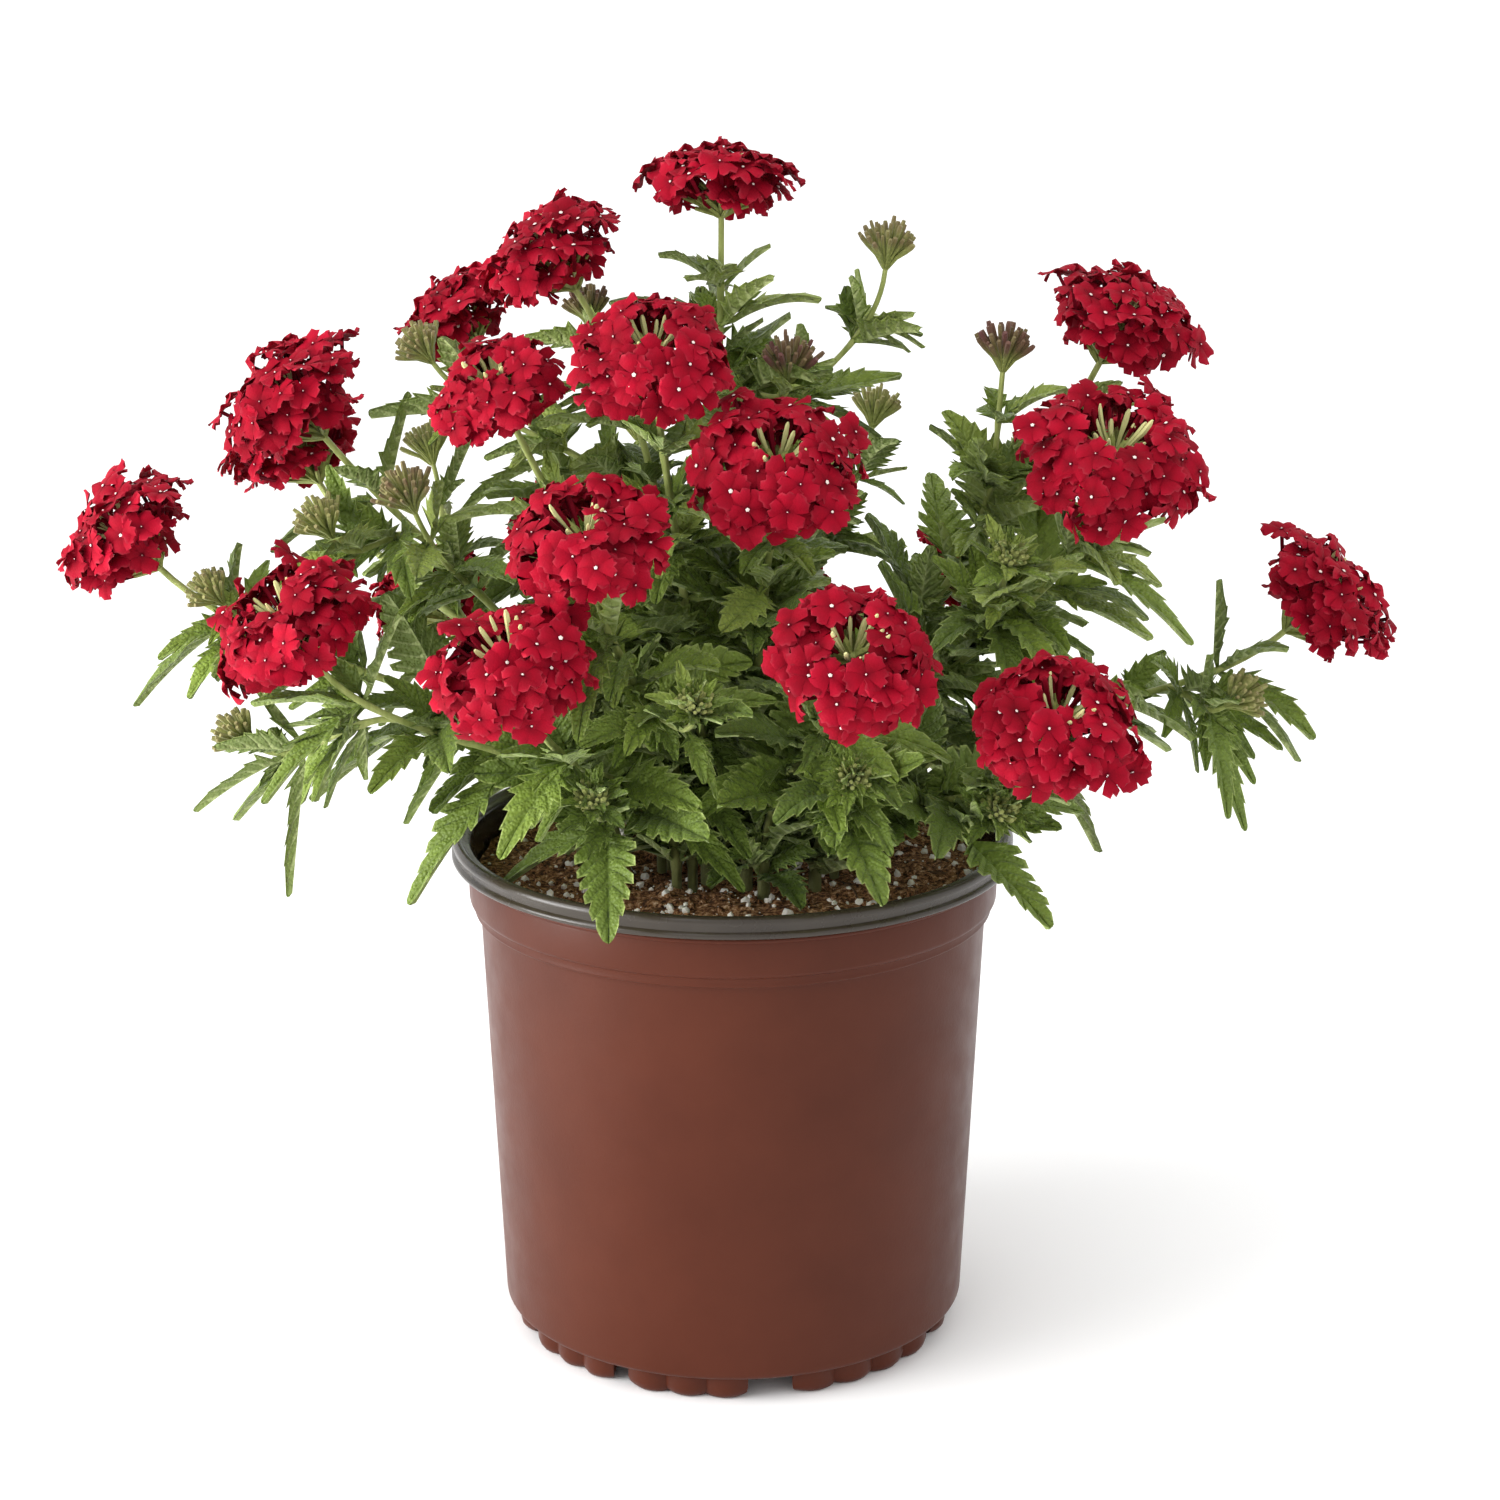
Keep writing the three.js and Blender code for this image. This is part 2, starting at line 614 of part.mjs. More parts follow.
// The direction out of a face of a square section.
function outOf({ side, over }, face) {
  return (face % 2 ? side : over).clone().multiplyScalar(face === 0 || face === 3 ? 1 : -1);
}

// A leaf's midrib leaves the stem in a direction and bows under the leaf's weight, and its
// blade folds up a little on both sides of it.
function leafPose(course, ring, side, attempt) {
  const section = course.rings[ring];
  const spot = course.leaves[section.order];
  const draw = (n) => chance(course.index, section.order, side, attempt, n);
  const face = (section.order % 2 ? [0, 2] : [3, 1])[side];
  const out = outOf(section, face);
  const across = section.along.clone().cross(out);
  const loose = LEAF_LOOSE + LEAF_STRAY * attempt;
  const turn = Math.min(loose, LEAF_SWING) * (draw(1) - 0.5) * RADIANS;
  const pitch = (LEAF_PITCH + Math.min(loose, LEAF_NOD) * (draw(2) - 0.5)) * RADIANS;
  const root = section.point.clone().addScaledVector(section.along, LEAF_THICK / 2);
  root.addScaledVector(out, section.half);
  const level = out.multiplyScalar(Math.cos(turn)).addScaledVector(across, Math.sin(turn));
  const heading = level.multiplyScalar(Math.sin(pitch));
  heading.addScaledVector(section.along, Math.cos(pitch));
  heading.setZ(Math.max(heading.z, -(spot.sink ?? 1))).normalize();
  const normal = section.along.clone().multiplyScalar(LEAF_ALONG);
  normal.addScaledVector(UP, between(...LEAF_UPRIGHT, draw(3)));
  const shrink = 1 - LEAF_SHRINK * attempt;
  return {
    ring,
    face,
    root,
    heading,
    across: normal.cross(heading).normalize(),
    length: spot.length * shrink * between(...LEAF_LENGTH, draw(4)),
    half: spot.half * shrink,
    droop: between(...(spot.droop ?? LEAF_DROOP), draw(5)),
    edge: spot.length > LARGE_LEAF ? LARGE_EDGE : SMALL_EDGE,
  };
}

function leafPoint({ root, heading, across, length, half, droop }, share, sideways, lift) {
  const along = heading.clone().addScaledVector(UP, -2 * droop * share).normalize();
  const above = along.cross(across).normalize();
  return root
    .clone()
    .addScaledVector(heading, length * share)
    .addScaledVector(UP, -length * droop * share * share)
    .addScaledVector(across, half * sideways)
    .addScaledVector(above, LEAF_FOLD * half * Math.abs(sideways) + lift);
}

// Adds a toothed blade, thickest on its midrib, that grows from the four corners of a face.
// Both sides of it are split alike.
function addBlade(vertices, triangles, root, leaf, rim, thick) {
  const [lowLeft, lowRight, highRight, highLeft] = root;
  const put = (...where) => vertices.push(leafPoint(leaf, ...where)) - 1;
  const outline = [
    ...leaf.edge.map(([share, out]) => [share, -out]),
    [1, 0],
    ...leaf.edge.toReversed(),
  ];
  const upper = [highLeft, ...outline.map(([share, out]) => put(share, out, rim / 2)), highRight];
  const lower = [lowLeft, ...outline.map(([share, out]) => put(share, out, -rim / 2)), lowRight];
  const top = put(MIDRIB, 0, thick / 2);
  const bottom = put(MIDRIB, 0, -thick / 2);
  for (let i = 0; i + 1 < upper.length; i++) {
    const [a, b, c, d] = [upper[i], upper[i + 1], lower[i + 1], lower[i]];
    triangles.push([top, a, b], [bottom, c, d], [a, d, c], [a, c, b]);
  }
  triangles.push([top, highRight, highLeft], [bottom, lowLeft, lowRight]);
}

// The room that a leaf keeps clear round itself, from a little way out of its stem.
function leafRoom(leaf) {
  const wider = { ...leaf, half: leaf.half + LEAF_CLEAR };
  const vertices = [[-1, -1], [1, -1], [1, 1], [-1, 1]].map(([a, b]) =>
    leafPoint(wider, LEAF_FREE, ROOM_ROOT[0] * a, ROOM_ROOT[1] * b),
  );
  const triangles = [[0, 2, 1], [0, 3, 2]];
  addBlade(vertices, triangles, [0, 1, 2, 3], wider, LEAF_CLEAR, LEAF_THICK + LEAF_CLEAR);
  return solidOf(indexed(vertices, triangles));
}

// Places leaves one by one. Each tries a few poses and takes the first that clears every
// flower head, every stem and the leaves that are there already.
function placeLeaves(courses, obstacles) {
  const found = new Map(courses.map((course) => [course, []]));
  for (const course of courses) {
    for (const [ring, { order }] of course.rings.entries()) {
      if (order === undefined) continue;
      for (let side = 0; side < 2; side++) {
        for (let attempt = 0; attempt < LEAF_TRIES; attempt++) {
          const leaf = leafPose(course, ring, side, attempt);
          const room = boxed(leafRoom(leaf));
          if (obstacles.some((obstacle) => touch(obstacle, room))) continue;
          obstacles.push(room);
          found.get(course).push(leaf);
          break;
        }
      }
    }
  }
  return found;
}

function boxed(solid) {
  const { min, max } = solid.boundingBox();
  return { solid, box: new THREE.Box3(vec(min), vec(max)) };
}

function touch(a, b) {
  return a.box.intersectsBox(b.box) && !a.solid.intersect(b.solid).isEmpty();
}

// ---------------------------------------------------------------- the whole

function material(colour, roughness) {
  return new THREE.MeshStandardMaterial({ color: colour, roughness, metalness: 0 });
}

const brownPlastic = material(0x6b3a2b, 0.45);
const peat = material(0x2f1d14, 0.95);
const foliage = material(0x4c6b2b, 0.7);
const red = material(0xc4122a, 0.8);

function part(name, solid, finish) {
  const mesh = new THREE.Mesh(geometryOf(solid), finish);
  mesh.name = name;
  return mesh;
}

function verbena() {
  const stems = Object.keys(HEADS).map(stemCourse);
  const shoots = SHOOTS.map((shoot, i) => shootCourse(shoot, i, stems));
  const potSolid = pot();
  const soilSolid = soil(stems);
  const heads = stems.map((stem) => solidOf(flowerHead(stem)));
  const courses = [...stems, ...shoots];
  const bare = courses.map((course) => bar(course, []));
  const leaves = placeLeaves(courses, [potSolid, soilSolid, ...heads, ...bare].map(boxed));
  const group = new THREE.Group();
  group.add(part("pot", potSolid, brownPlastic), part("soil", soilSolid, peat));
  stems.forEach(({ name }, i) => {
    const own = courses.filter((course) => course.name === name);
    const green = joined(own.map((course) => bar(course, leaves.get(course))));
    group.add(part("stem_" + name, green, foliage), part("head_" + name, heads[i], red));
  });
  return group;
}

export default verbena();
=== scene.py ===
# Looks of a red verbena in flower, in its plastic nursery pot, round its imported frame.
import math
from collections import namedtuple
from itertools import combinations, product
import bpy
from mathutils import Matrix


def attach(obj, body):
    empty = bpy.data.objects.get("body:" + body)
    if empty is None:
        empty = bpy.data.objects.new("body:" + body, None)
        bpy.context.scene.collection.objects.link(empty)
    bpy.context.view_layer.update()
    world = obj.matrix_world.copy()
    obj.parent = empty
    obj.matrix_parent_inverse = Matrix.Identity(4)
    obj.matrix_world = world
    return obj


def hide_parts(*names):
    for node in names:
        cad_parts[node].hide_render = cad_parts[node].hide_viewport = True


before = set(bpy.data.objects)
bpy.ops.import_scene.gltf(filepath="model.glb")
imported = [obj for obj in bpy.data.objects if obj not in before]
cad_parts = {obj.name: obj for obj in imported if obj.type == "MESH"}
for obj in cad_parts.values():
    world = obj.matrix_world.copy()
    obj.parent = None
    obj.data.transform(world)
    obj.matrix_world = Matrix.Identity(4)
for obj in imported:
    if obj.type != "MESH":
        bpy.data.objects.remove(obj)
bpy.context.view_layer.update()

from types import SimpleNamespace

import bpy
import numpy as np
from mathutils import Vector, noise
from mathutils.bvhtree import BVHTree
from mathutils.kdtree import KDTree

# Lengths are in millimetres and angles in degrees, up to the meshes themselves.
MM = 0.001

# ---- dimensions of the frame

# Pot
LIP_TOP = 151.6
LIP_RADIUS = 82.5
LIP_UNDER = 145.2
COLLAR_RADIUS = 77.7
COLLAR_FOOT = 132.5
STEP_HEIGHT = 129.0
BODY_TOP_RADIUS = 74.3
BODY_FOOT_RADIUS = 69.0
BODY_FOOT = 9.7
UNDERSIDE = 7.6
WALL = 1.9
FLOOR_TOP = 10.6
FOOT_RADIUS = 66.2
FOOT_INNER = 60.5
FOOT_TAPER = 1.5

# The groups of lugs that one half of the pot stands on: the angles where each starts and ends,
# and how many lugs it has. The other half is this one, turned round.
FOOT_GROUPS = [(-154, -122.5, 3), (-118, -86, 3), (-74.5, -27, 4), (-23, 22, 4)]

# Soil
SOIL_TOP = 141
SOIL_GAP = 0.4
SOIL_LUMP = 1.5

# Stems and shoots
STEM_WIDE = 2.9
STEM_NARROW = 1.9
STEM_SUNK = 15.5
STEM_SHARES = [0, 0.25, 0.45, 0.65, 0.84, 1]
STEM_STRAIGHT = 6
SHOOT_WIDE = 2.0
SHOOT_NARROW = 1.5
SHOOT_SHARE = 0.4
BOW = 0.35
ROOT_INNER = 8
ROOT_SPREAD = 0.215

# Flower heads and bud tufts
NECK_DROP = 0.78
CENTRE_FOOT = 0.08
CENTRE_HEIGHT = 0.45
TUFT_NECK = 0.9

# Leaves
LEAF_THICK = 1.2
LEAF_FOLD = 0.22
LEAF_PITCH = 58
LEAF_ALONG = 0.6
LEAF_UPRIGHT = (0.6, 1.0)
LEAF_DROOP = (0.1, 0.5)
LEAF_LENGTH = (0.9, 1.1)
LEAF_LOOSE = 30
LEAF_SWING = 100
LEAF_NOD = 60
LEAF_TRIES = 14
LEAF_STRAY = 12
LEAF_SHRINK = 0.03
TIP_NEAR = 0.05

# How a leaf pair stands on its course: the point that carries it, its leaves' length and half
# width, their droop, and how steeply they may set out downwards.
Pair = namedtuple("Pair", "point length half droop sink", defaults=(LEAF_DROOP, 1.0))
STEM_LEAVES = [Pair(2, 46, 10.5), Pair(3, 44, 10), Pair(4, 37, 8.5)]
LONG_STEM = [*STEM_LEAVES, Pair(5, 33, 7.5)]
BUSHY_STEM = [*STEM_LEAVES, Pair(1, 34, 8)]
SHOOT_LEAVES = [Pair(1, 30, 7)]
LONG_SHOOT = [Pair(1, 34, 8), Pair(2, 27, 6.5)]
CROWN = [Pair(1, 34, 8), Pair(2, 31, 7.5), Pair(3, 27, 6.5)]
ROSETTE = [Pair(1, 44, 10.5, (0, 0.2), 0.25), Pair(2, 38, 9, (0, 0.2), 0.25)]

# Each flower head: its centre, width, depth, and which way it faces (round, from upright).
Head = namedtuple("Head", "at wide deep faces leaves", defaults=(STEM_LEAVES,))
HEADS = {
    "top": Head((-3, 0, 339), 42, 23, (90, 6), LONG_STEM),
    "top_left": Head((-49, -15, 321), 43, 28, (186, 32)),
    "back_left": Head((-80, 35, 297), 37, 24, (172, 36)),
    "mid_left": Head((-64, -38, 288), 36, 25, (235, 34)),
    "upper_front": Head((-21, -55, 299), 46, 32, (262, 30), BUSHY_STEM),
    "far_left": Head((-124, 0, 278), 47, 33, (188, 38), LONG_STEM),
    "end_left": Head((-171, -10, 241), 44, 31, (188, 42), LONG_STEM),
    "low_left": Head((-119, -60, 227), 47, 34, (215, 34), LONG_STEM),
    "front": Head((-38, -85, 255), 45, 31, (250, 26), LONG_STEM),
    "low_front": Head((-56, -100, 225), 46, 36, (240, 30)),
    "mid_front": Head((12, -65, 271), 49, 33, (275, 36), BUSHY_STEM),
    "low_middle": Head((31, -105, 229), 46, 34, (280, 42), BUSHY_STEM),
    "top_right": Head((109, 0, 300), 46, 31, (340, 26)),
    "mid_right": Head((103, -45, 270), 54, 37, (285, 30), LONG_STEM),
    "end_right": Head((169, 0, 220), 47, 33, (352, 46), LONG_STEM),
    "low_right": Head((85, -95, 209), 47, 37, (290, 36), BUSHY_STEM),
    "back": Head((14, 86, 242), 45, 31, (92, 30), BUSHY_STEM),
    "back_right": Head((118, 62, 250), 46, 32, (30, 32)),
    "low_back_right": Head((77, 98, 204), 45, 32, (56, 42)),
    "back_middle": Head((-48, 98, 226), 45, 32, (118, 34), BUSHY_STEM),
    "low_back": Head((12, 108, 196), 44, 32, (88, 50), BUSHY_STEM),
    "back_far_left": Head((-132, 60, 254), 45, 32, (155, 34)),
    "low_back_left": Head((-96, 93, 200), 44, 31, (133, 44)),
}

# Each side shoot: its stem and the point of the stem's course under it, then its bud tuft,
# with how dusky the tuft's tips are.
Shoot = namedtuple("Shoot", "on start at wide faces leaves dusk", defaults=(SHOOT_LEAVES, 0.25))
SHOOTS = [
    Shoot("top", 3, (44, 10, 321), 17, (0, 6), CROWN, dusk=0.5),
    Shoot("top", 4, (16, -20, 293), 17, (300, 8), dusk=1.0),
    Shoot("top_right", 3, (76, -10, 295), 17, (0, 4), dusk=1.0),
    Shoot("top_left", 3, (-88, 0, 294), 15, (190, 35), dusk=0.4),
    Shoot("top_left", 4, (-41, 8, 304), 14, (120, 20), dusk=0.9),
    Shoot("far_left", 4, (-115, -20, 248), 16, (200, 30), LONG_SHOOT),
    Shoot("end_left", 4, (-147, -20, 228), 14, (200, 40), LONG_SHOOT),
    Shoot("low_left", 4, (-138, -40, 192), 15, (195, 50), LONG_SHOOT),
    Shoot("far_left", 3, (-90, -30, 258), 17, (220, 25), dusk=0.6),
    Shoot("end_right", 4, (145, -20, 197), 15, (335, 55), LONG_SHOOT),
    Shoot("low_front", 2, (-37, -84, 188), 17, (262, 35), ROSETTE, dusk=0.0),
    Shoot("low_middle", 2, (32, -94, 197), 17, (275, 40), ROSETTE, dusk=0.0),
    Shoot("low_right", 2, (73, -80, 184), 17, (300, 40), ROSETTE, dusk=0.0),
    Shoot("front", 3, (-9, -98, 218), 16, (280, 30), dusk=0.0),
    Shoot("mid_right", 3, (76, -48, 246), 16, (290, 25), dusk=0.0),
    Shoot("back", 3, (44, 84, 262), 16, (60, 20)),
    Shoot("back_far_left", 3, (-94, 74, 252), 16, (130, 25)),
    Shoot("back_middle", 3, (-30, 84, 258), 16, (100, 20)),
]

# ---- dimensions of the looks

# Pot: a rolled lip over a bead, and scalloped lugs under the body
POT_STEPS = 144
LIP_GROOVE = 0.7
LIP_ROLL = 1.7
BEAD = 0.8
FOOT_SCALLOP = 1.9
LOBE_STEPS = 8

# How far a lug's sides are drawn in towards its foot, at heights over the floor
FOOT_ROUNDING = [(0, 2.3), (0.5, 1.2), (1.6, 0.4), (3.2, 0), (UNDERSIDE + 1.5, 0)]

# Soil: its grains are mostly small, as a power of a random share makes them, and lifted over the
# ground by a share of their size
SOIL_RINGS = 44
SOIL_STEPS = 150
SOIL_ROUGH = 1.3
CRUMBS = 900
CRUMB_SIZE = (0.5, 2.0)
CRUMB_LIFT = 0.1
PERLITE = 760
PERLITE_SIZE = (0.25, 2.1)
PERLITE_LIFT = 0.2
MOSTLY_SMALL = 2.8
FIBRES = 70
FIBRE_LENGTH = (5, 15)
FIBRE_BEND = (-25, 25)
FIBRE_THICK = (0.15, 0.5)
FIBRE_LIFT = 0.35

# Stalks: a square section with worn corners, swollen where leaves stand, and darkened at the foot
# with painted shade.
# A shoot's is drawn in at its foot, and bent onto the smooth curve of its stem.
STALK_STEPS = 30
STALK_SHARE = 0.86
CORNER = 0.4
NODE_SWELL = 0.3
NODE_REACH = 2.2
STALK_IN_TUFT = 3.5
SHADED_FOOT_HEIGHT = 38
SHOOT_FOOT = 0.9
SHOOT_BEND = 4

# Blades: half the width through the tips of the teeth, at shares of the length. Lateral veins
# run out to the teeth, and the blade bulges between them.
BLADE_SHARES = (0.0, 0.11, 0.2, 0.3, 0.45, 0.62, 0.78, 0.9, 0.97, 1.0)
BLADE_WIDTHS = (0.13, 0.12, 0.5, 1.0, 0.95, 0.8, 0.58, 0.36, 0.2, 0.06)
TEETH_START = 0.15
TEETH_END = 0.95
NOTCH = (0.5, 0.74)
TOOTH_LEAN = 0.12
VEIN_LAG = 0.13
QUILT = 0.5
RIB_GROOVE = 0.6
BLADE_THICK = 0.4
RIB_THICK = 0.8
EDGE_WAVE = 0.16

# Leaf pairs between the frame's own: the share of the stem or shoot where each stands, and the
# limits of its leaves' lengths. Stems rooted further forward than FRONT_ROOT have a foot pair.
PAIRS = [(0.12, (30, 38)), (0.35, (36, 44)), (0.55, (35, 42)), (0.75, (28, 35))]
SPARSE_PAIRS = [(0.35, (30, 38)), (0.6, (26, 34))]
DENSE_PAIRS = [*PAIRS, (0.45, (34, 42)), (0.66, (32, 40)), (0.87, (24, 32))]
TOP_PAIRS = [*PAIRS, (0.66, (32, 40)), (0.8, (24, 32)), (0.9, (16, 24))]
SHOOT_PAIRS = [(0.3, (18, 24)), (0.8, (12, 17))]
DENSE_SHOOT_PAIRS = [*SHOOT_PAIRS, (0.12, (28, 36)), (0.5, (26, 33))]
FOOT_PAIR = (0.04, (16, 26))
FRONT_ROOT = -12
DENSE_STEMS = ["upper_front", "mid_front", "top_right", "mid_right", "back", "low_back_right"]
SPARSE_STEMS = ["far_left", "end_left", "low_left", "back_far_left", "low_back_left", "end_right"]
BETWEEN = {"top": TOP_PAIRS}
BETWEEN |= dict.fromkeys(DENSE_STEMS, DENSE_PAIRS) | dict.fromkeys(SPARSE_STEMS, SPARSE_PAIRS)

# How these leaves grow: their half width and sag as shares of their length, and how they roll,
# then how the leaves of pairs and the sprigs in the axils turn and pitch out of their stem
LEAF_SLIM = (0.23, 0.3)
LEAF_SAG = (0.05, 0.55)
LEAF_ROLL = (-32, 32)
PAIR_TURN = (-45, 45)
PAIR_PITCH = (35, 85)
SPRIG_LENGTH = (14, 32)
SPRIG_TURN = (-70, 70)
SPRIG_PITCH = (20, 55)
MOSTLY_SHORT = 1.4
TRIES = 8

# Where a leaf is tried: shares of its length, with shares of its half width
TRIED = [(0.25, 0.7), (0.6, 0.8), (1.0, 0.1)]

# Their tips stay out of the space in front that leaves the soil in view
OPEN_FRONT = -40
OPEN_HEIGHT = 170

# All leaves: how they bend sideways, how light they are, and how much painted shade darkens them near
# the soil
LEAF_BEND = (-0.1, 0.1)
LEAF_TINT = (0.1, 0.9)
LOW_LEAVES = 100
LOW_SHADE = 0.85

# Florets: five notched petals on a tube out of a green calyx, with a pale eye. A head of the
# usual width has FLORETS of them, and some sink in, stray out or stand loosely.
USUAL_HEAD = 46
FLORETS = 58
FLORET_SINK = 0.22
FLORET_STRAY = 0.2
FLORET_LOOSE = 0.42
FLORET_TILT = (-6, 6)
FLORET_TURN = (-9, 9)
PETAL_LENGTH = (5.6, 6.8)
PETAL_HALF = (2.5, 3.2)
PETAL_NOTCH = (0.1, 0.26)
PETAL_ROWS = (0.06, 0.42, 0.8, 1.0)
PETAL_WIDTHS = (0.172, 0.7, 1.0, 0.66)
PETAL_SIDES = (-1, -0.55, 0, 0.55, 1)
PETAL_DOME = 1.6
PETAL_THICK = 0.4
PETAL_RUFFLE = 0.4
PETAL_TURN = (-7, 7)
TUBE_SHARES = (0.35, 0.7, 1.0)
TUBE_RADII = (0.5, 0.6, 0.7)
CALYX_SHARES = (0, 0.24, 0.45)
EYE_RADIUS = (0.2, 0.64)
EYE_SIDES = 5

# How a head is built: the angles from its axis where its florets stand, how far out they are and
# how much they lean to the axis, where on the axis their tubes start, as shares of half its
# depth, how thick their calyces are, how their petals curl, how full it is, and whether it
# narrows to a cone on its point.
Habit = namedtuple("Habit", "angles out lean feet calyx curl full cone", defaults=(1, 0))
OPEN_HABIT = Habit((30, 113), 0.82, 0.6, (0.1, -0.62), 1.05, (-0.22, 0.25))

# Heads that are still opening: from CONE_FROM degrees on, their florets draw in and down
YOUNG_HABIT = Habit((10, 108), 0.89, 0.8, (-0.5, -0.85), 0.7, (-0.3, 0.15), full=0.9, cone=1)
YOUNG_HEADS = ["top", "top_left", "back_left", "far_left", "end_left"]
YOUNG_HEADS += ["top_right", "end_right", "back_far_left", "back_right"]
CONE_FROM = 80
CONE_IN = 0.52
CONE_DOWN = 0.08

# Buds: the green ones in the middle of a head and the red ones round them, with how far and how
# high they spread and their sizes, and then those of the shoots' tufts
GREEN_BUDS = SimpleNamespace(count=12, spread=7.5, tips=(0.2, 0.4), size=(0.55, 0.85))
RED_BUDS = SimpleNamespace(count=11, spread=9.5, tips=(0.25, 0.38), size=(0.7, 1.0))
TUFT_BUDS = 42
TUFT_SPREAD = 80
TUFT_REACH = (0.8, 1.16)
TUFT_BUD = (0.52, 0.78)
BUD_REACH = (0.75, 1.05)
BUD_RADIUS = 1.1
BUD_SIDES = 5
BUD_SHARES = (0, 0.4, 0.72, 0.92, 1.0)
BLUNT = (0.4, 0.75, 1.0, 1.02, 0.8)
POINTED = (0.4, 0.7, 1.0, 0.85, 0.4)

# A rosette's tuft is small, among young leaves
ROSETTE_TUFT = 0.62
YOUNG_LEAVES = 22
YOUNG_LEAF = (6, 15)
YOUNG_LEAF_TILT = (15, 80)
YOUNG_LEAF_DROOP = (-0.1, 0.3)

# Studio, in metres and watts: white light all round, a soft sun and two lamps at the left, with
# their places and sizes, and the camera
FLOOR = 14.0
AIM = (0, 0, 0.18)
WORLD_LIGHT = 1.2
SUN_PLACE = (-1.2, -1.0, 2.0)
SUN_LIGHT = 0.5
SUN_ANGLE = 50
LAMPS = {"key": ((-1.0, -0.4, 0.5), 0.8, 8.5), "low": ((-0.7, -0.26, 0.15), 0.35, 3.6)}
CAMERA_PLACE = (0.005, -0.906, 0.433)
CAMERA_DOWN = 15.87
CAMERA_LENS = 77.5
CAMERA_SENSOR = 36

rng = np.random.default_rng(20)

# ---- small helpers

UP = np.array([0.0, 0.0, 1.0])
GOLDEN_TURN = 180 * (3 - math.sqrt(5))


def between(limits, share):
    return limits[0] + (limits[1] - limits[0]) * share


def draw(limits, *size):
    """Random numbers between two limits."""
    return rng.uniform(*limits, size or None)


def chance(*keys):
    """A number from 0 to 1 that depends on its keys alone, as the frame's leaves draw it."""
    value = 2166136261
    for key in keys:
        value = ((value ^ key) * 16777619) & 0xFFFFFFFF
        value ^= value >> 13
        value = (value * 1540483477) & 0xFFFFFFFF
        value ^= value >> 15
    return value / 4294967296


def unit(vectors):
    return vectors / np.linalg.norm(vectors, axis=-1, keepdims=True)


def polar(degrees, radius, z=0.0):
    angle = np.radians(degrees)
    return np.stack(np.broadcast_arrays(radius * np.cos(angle), radius * np.sin(angle), z), -1)


def facing(around, tilt):
    return polar(around, np.sin(np.radians(tilt)), np.cos(np.radians(tilt)))


def bow(start, leaving, end, arriving):
    """Control points of curves that start in one direction and end in another."""
    reach = BOW * np.linalg.norm(end - start, axis=-1, keepdims=True)
    return start, start + leaving * reach, end - arriving * reach, end


def bezier(controls, shares):
    t = np.asarray(shares, float)[:, None]
    a, b, c, d = (point[..., None, :] for point in controls)
    return (1 - t) ** 3 * a + 3 * (1 - t) ** 2 * t * b + 3 * (1 - t) * t**2 * c + t**3 * d


def crosswise(directions):
    """Two directions square to each one of a batch, and to each other."""
    flat = directions.reshape(-1, 3)
    helper = np.eye(3)[np.abs(flat).argmin(axis=1)].reshape(directions.shape)
    side = unit(np.cross(directions, helper))
    return side, np.cross(directions, side)


def quads(index, closed=False):
    """Quads between neighbours in a grid of point numbers."""
    if closed:
        index = np.concatenate([index, index[:, :1]], axis=1)
    corners = [index[:-1, :-1], index[:-1, 1:], index[1:, 1:], index[1:, :-1]]
    return np.stack(corners, -1).reshape(-1, 4)


def sheet_faces(rows, columns):
    """A closed sheet: a grid, and a second one under it that shares its border."""
    top = np.arange(rows * columns).reshape(rows, columns)
    under = top.copy()
    inner = np.arange((rows - 2) * (columns - 2)).reshape(rows - 2, columns - 2)
    under[1:-1, 1:-1] = rows * columns + inner
    return [quads(top), quads(under)[:, ::-1]]


def fan_faces(rows, columns):
    """A closed sheet whose underside is a fan round one point."""
    grid = np.arange(rows * columns).reshape(rows, columns)
    loop = np.concatenate([grid[0, :-1], grid[:-1, -1], grid[-1, :0:-1], grid[:0:-1, 0]])
    middle = np.full(len(loop), rows * columns)
    return [quads(grid), np.stack([middle, np.roll(loop, -1), loop], -1)]


def sheet_points(top, under):
    """Points of closed sheets, from the upper and the lower grids of a batch."""
    batch, _, _, size = top.shape
    inner = under[:, 1:-1, 1:-1].reshape(batch, -1, size)
    return np.concatenate([top.reshape(batch, -1, size), inner], axis=1)


def bar_faces(rings, sides):
    """A closed bar of rings, with the middles of its two ends after them."""
    grid = np.arange(rings * sides).reshape(rings, sides)
    first, last = rings * sides, rings * sides + 1
    here, after = grid, np.roll(grid, -1, axis=1)
    start = np.stack([np.full(sides, first), after[0], here[0]], -1)
    end = np.stack([np.full(sides, last), here[-1], after[-1]], -1)
    return [quads(grid, closed=True), np.concatenate([start, end])]


def bar_points(paths, sections):
    """Points of closed bars, from paths and the rings of points round them, in a batch."""
    batch = len(paths)
    return np.concatenate([sections.reshape(batch, -1, 3), paths[:, :1], paths[:, -1:]], axis=1)


def round_bars(paths, radii, sides):
    """Round bars along a batch of paths."""
    along = unit(np.gradient(paths, axis=1))
    middle = unit(paths[:, -1:] - paths[:, :1])
    side, _ = crosswise(middle)
    side = unit(side - along * (side * along).sum(-1, keepdims=True))
    over = np.cross(along, side)
    angle = 2 * math.pi * np.arange(sides)[:, None] / sides
    ring = side[:, :, None] * np.cos(angle) + over[:, :, None] * np.sin(angle)
    sections = paths[:, :, None] + ring * np.asarray(radii)[..., None, None]
    return bar_points(paths, sections)


def in_scene(name, data):
    """A Blender object for a mesh, a lamp or a camera, linked to the scene."""
    made = bpy.data.objects.new(name, data)
    bpy.context.scene.collection.objects.link(made)
    return made


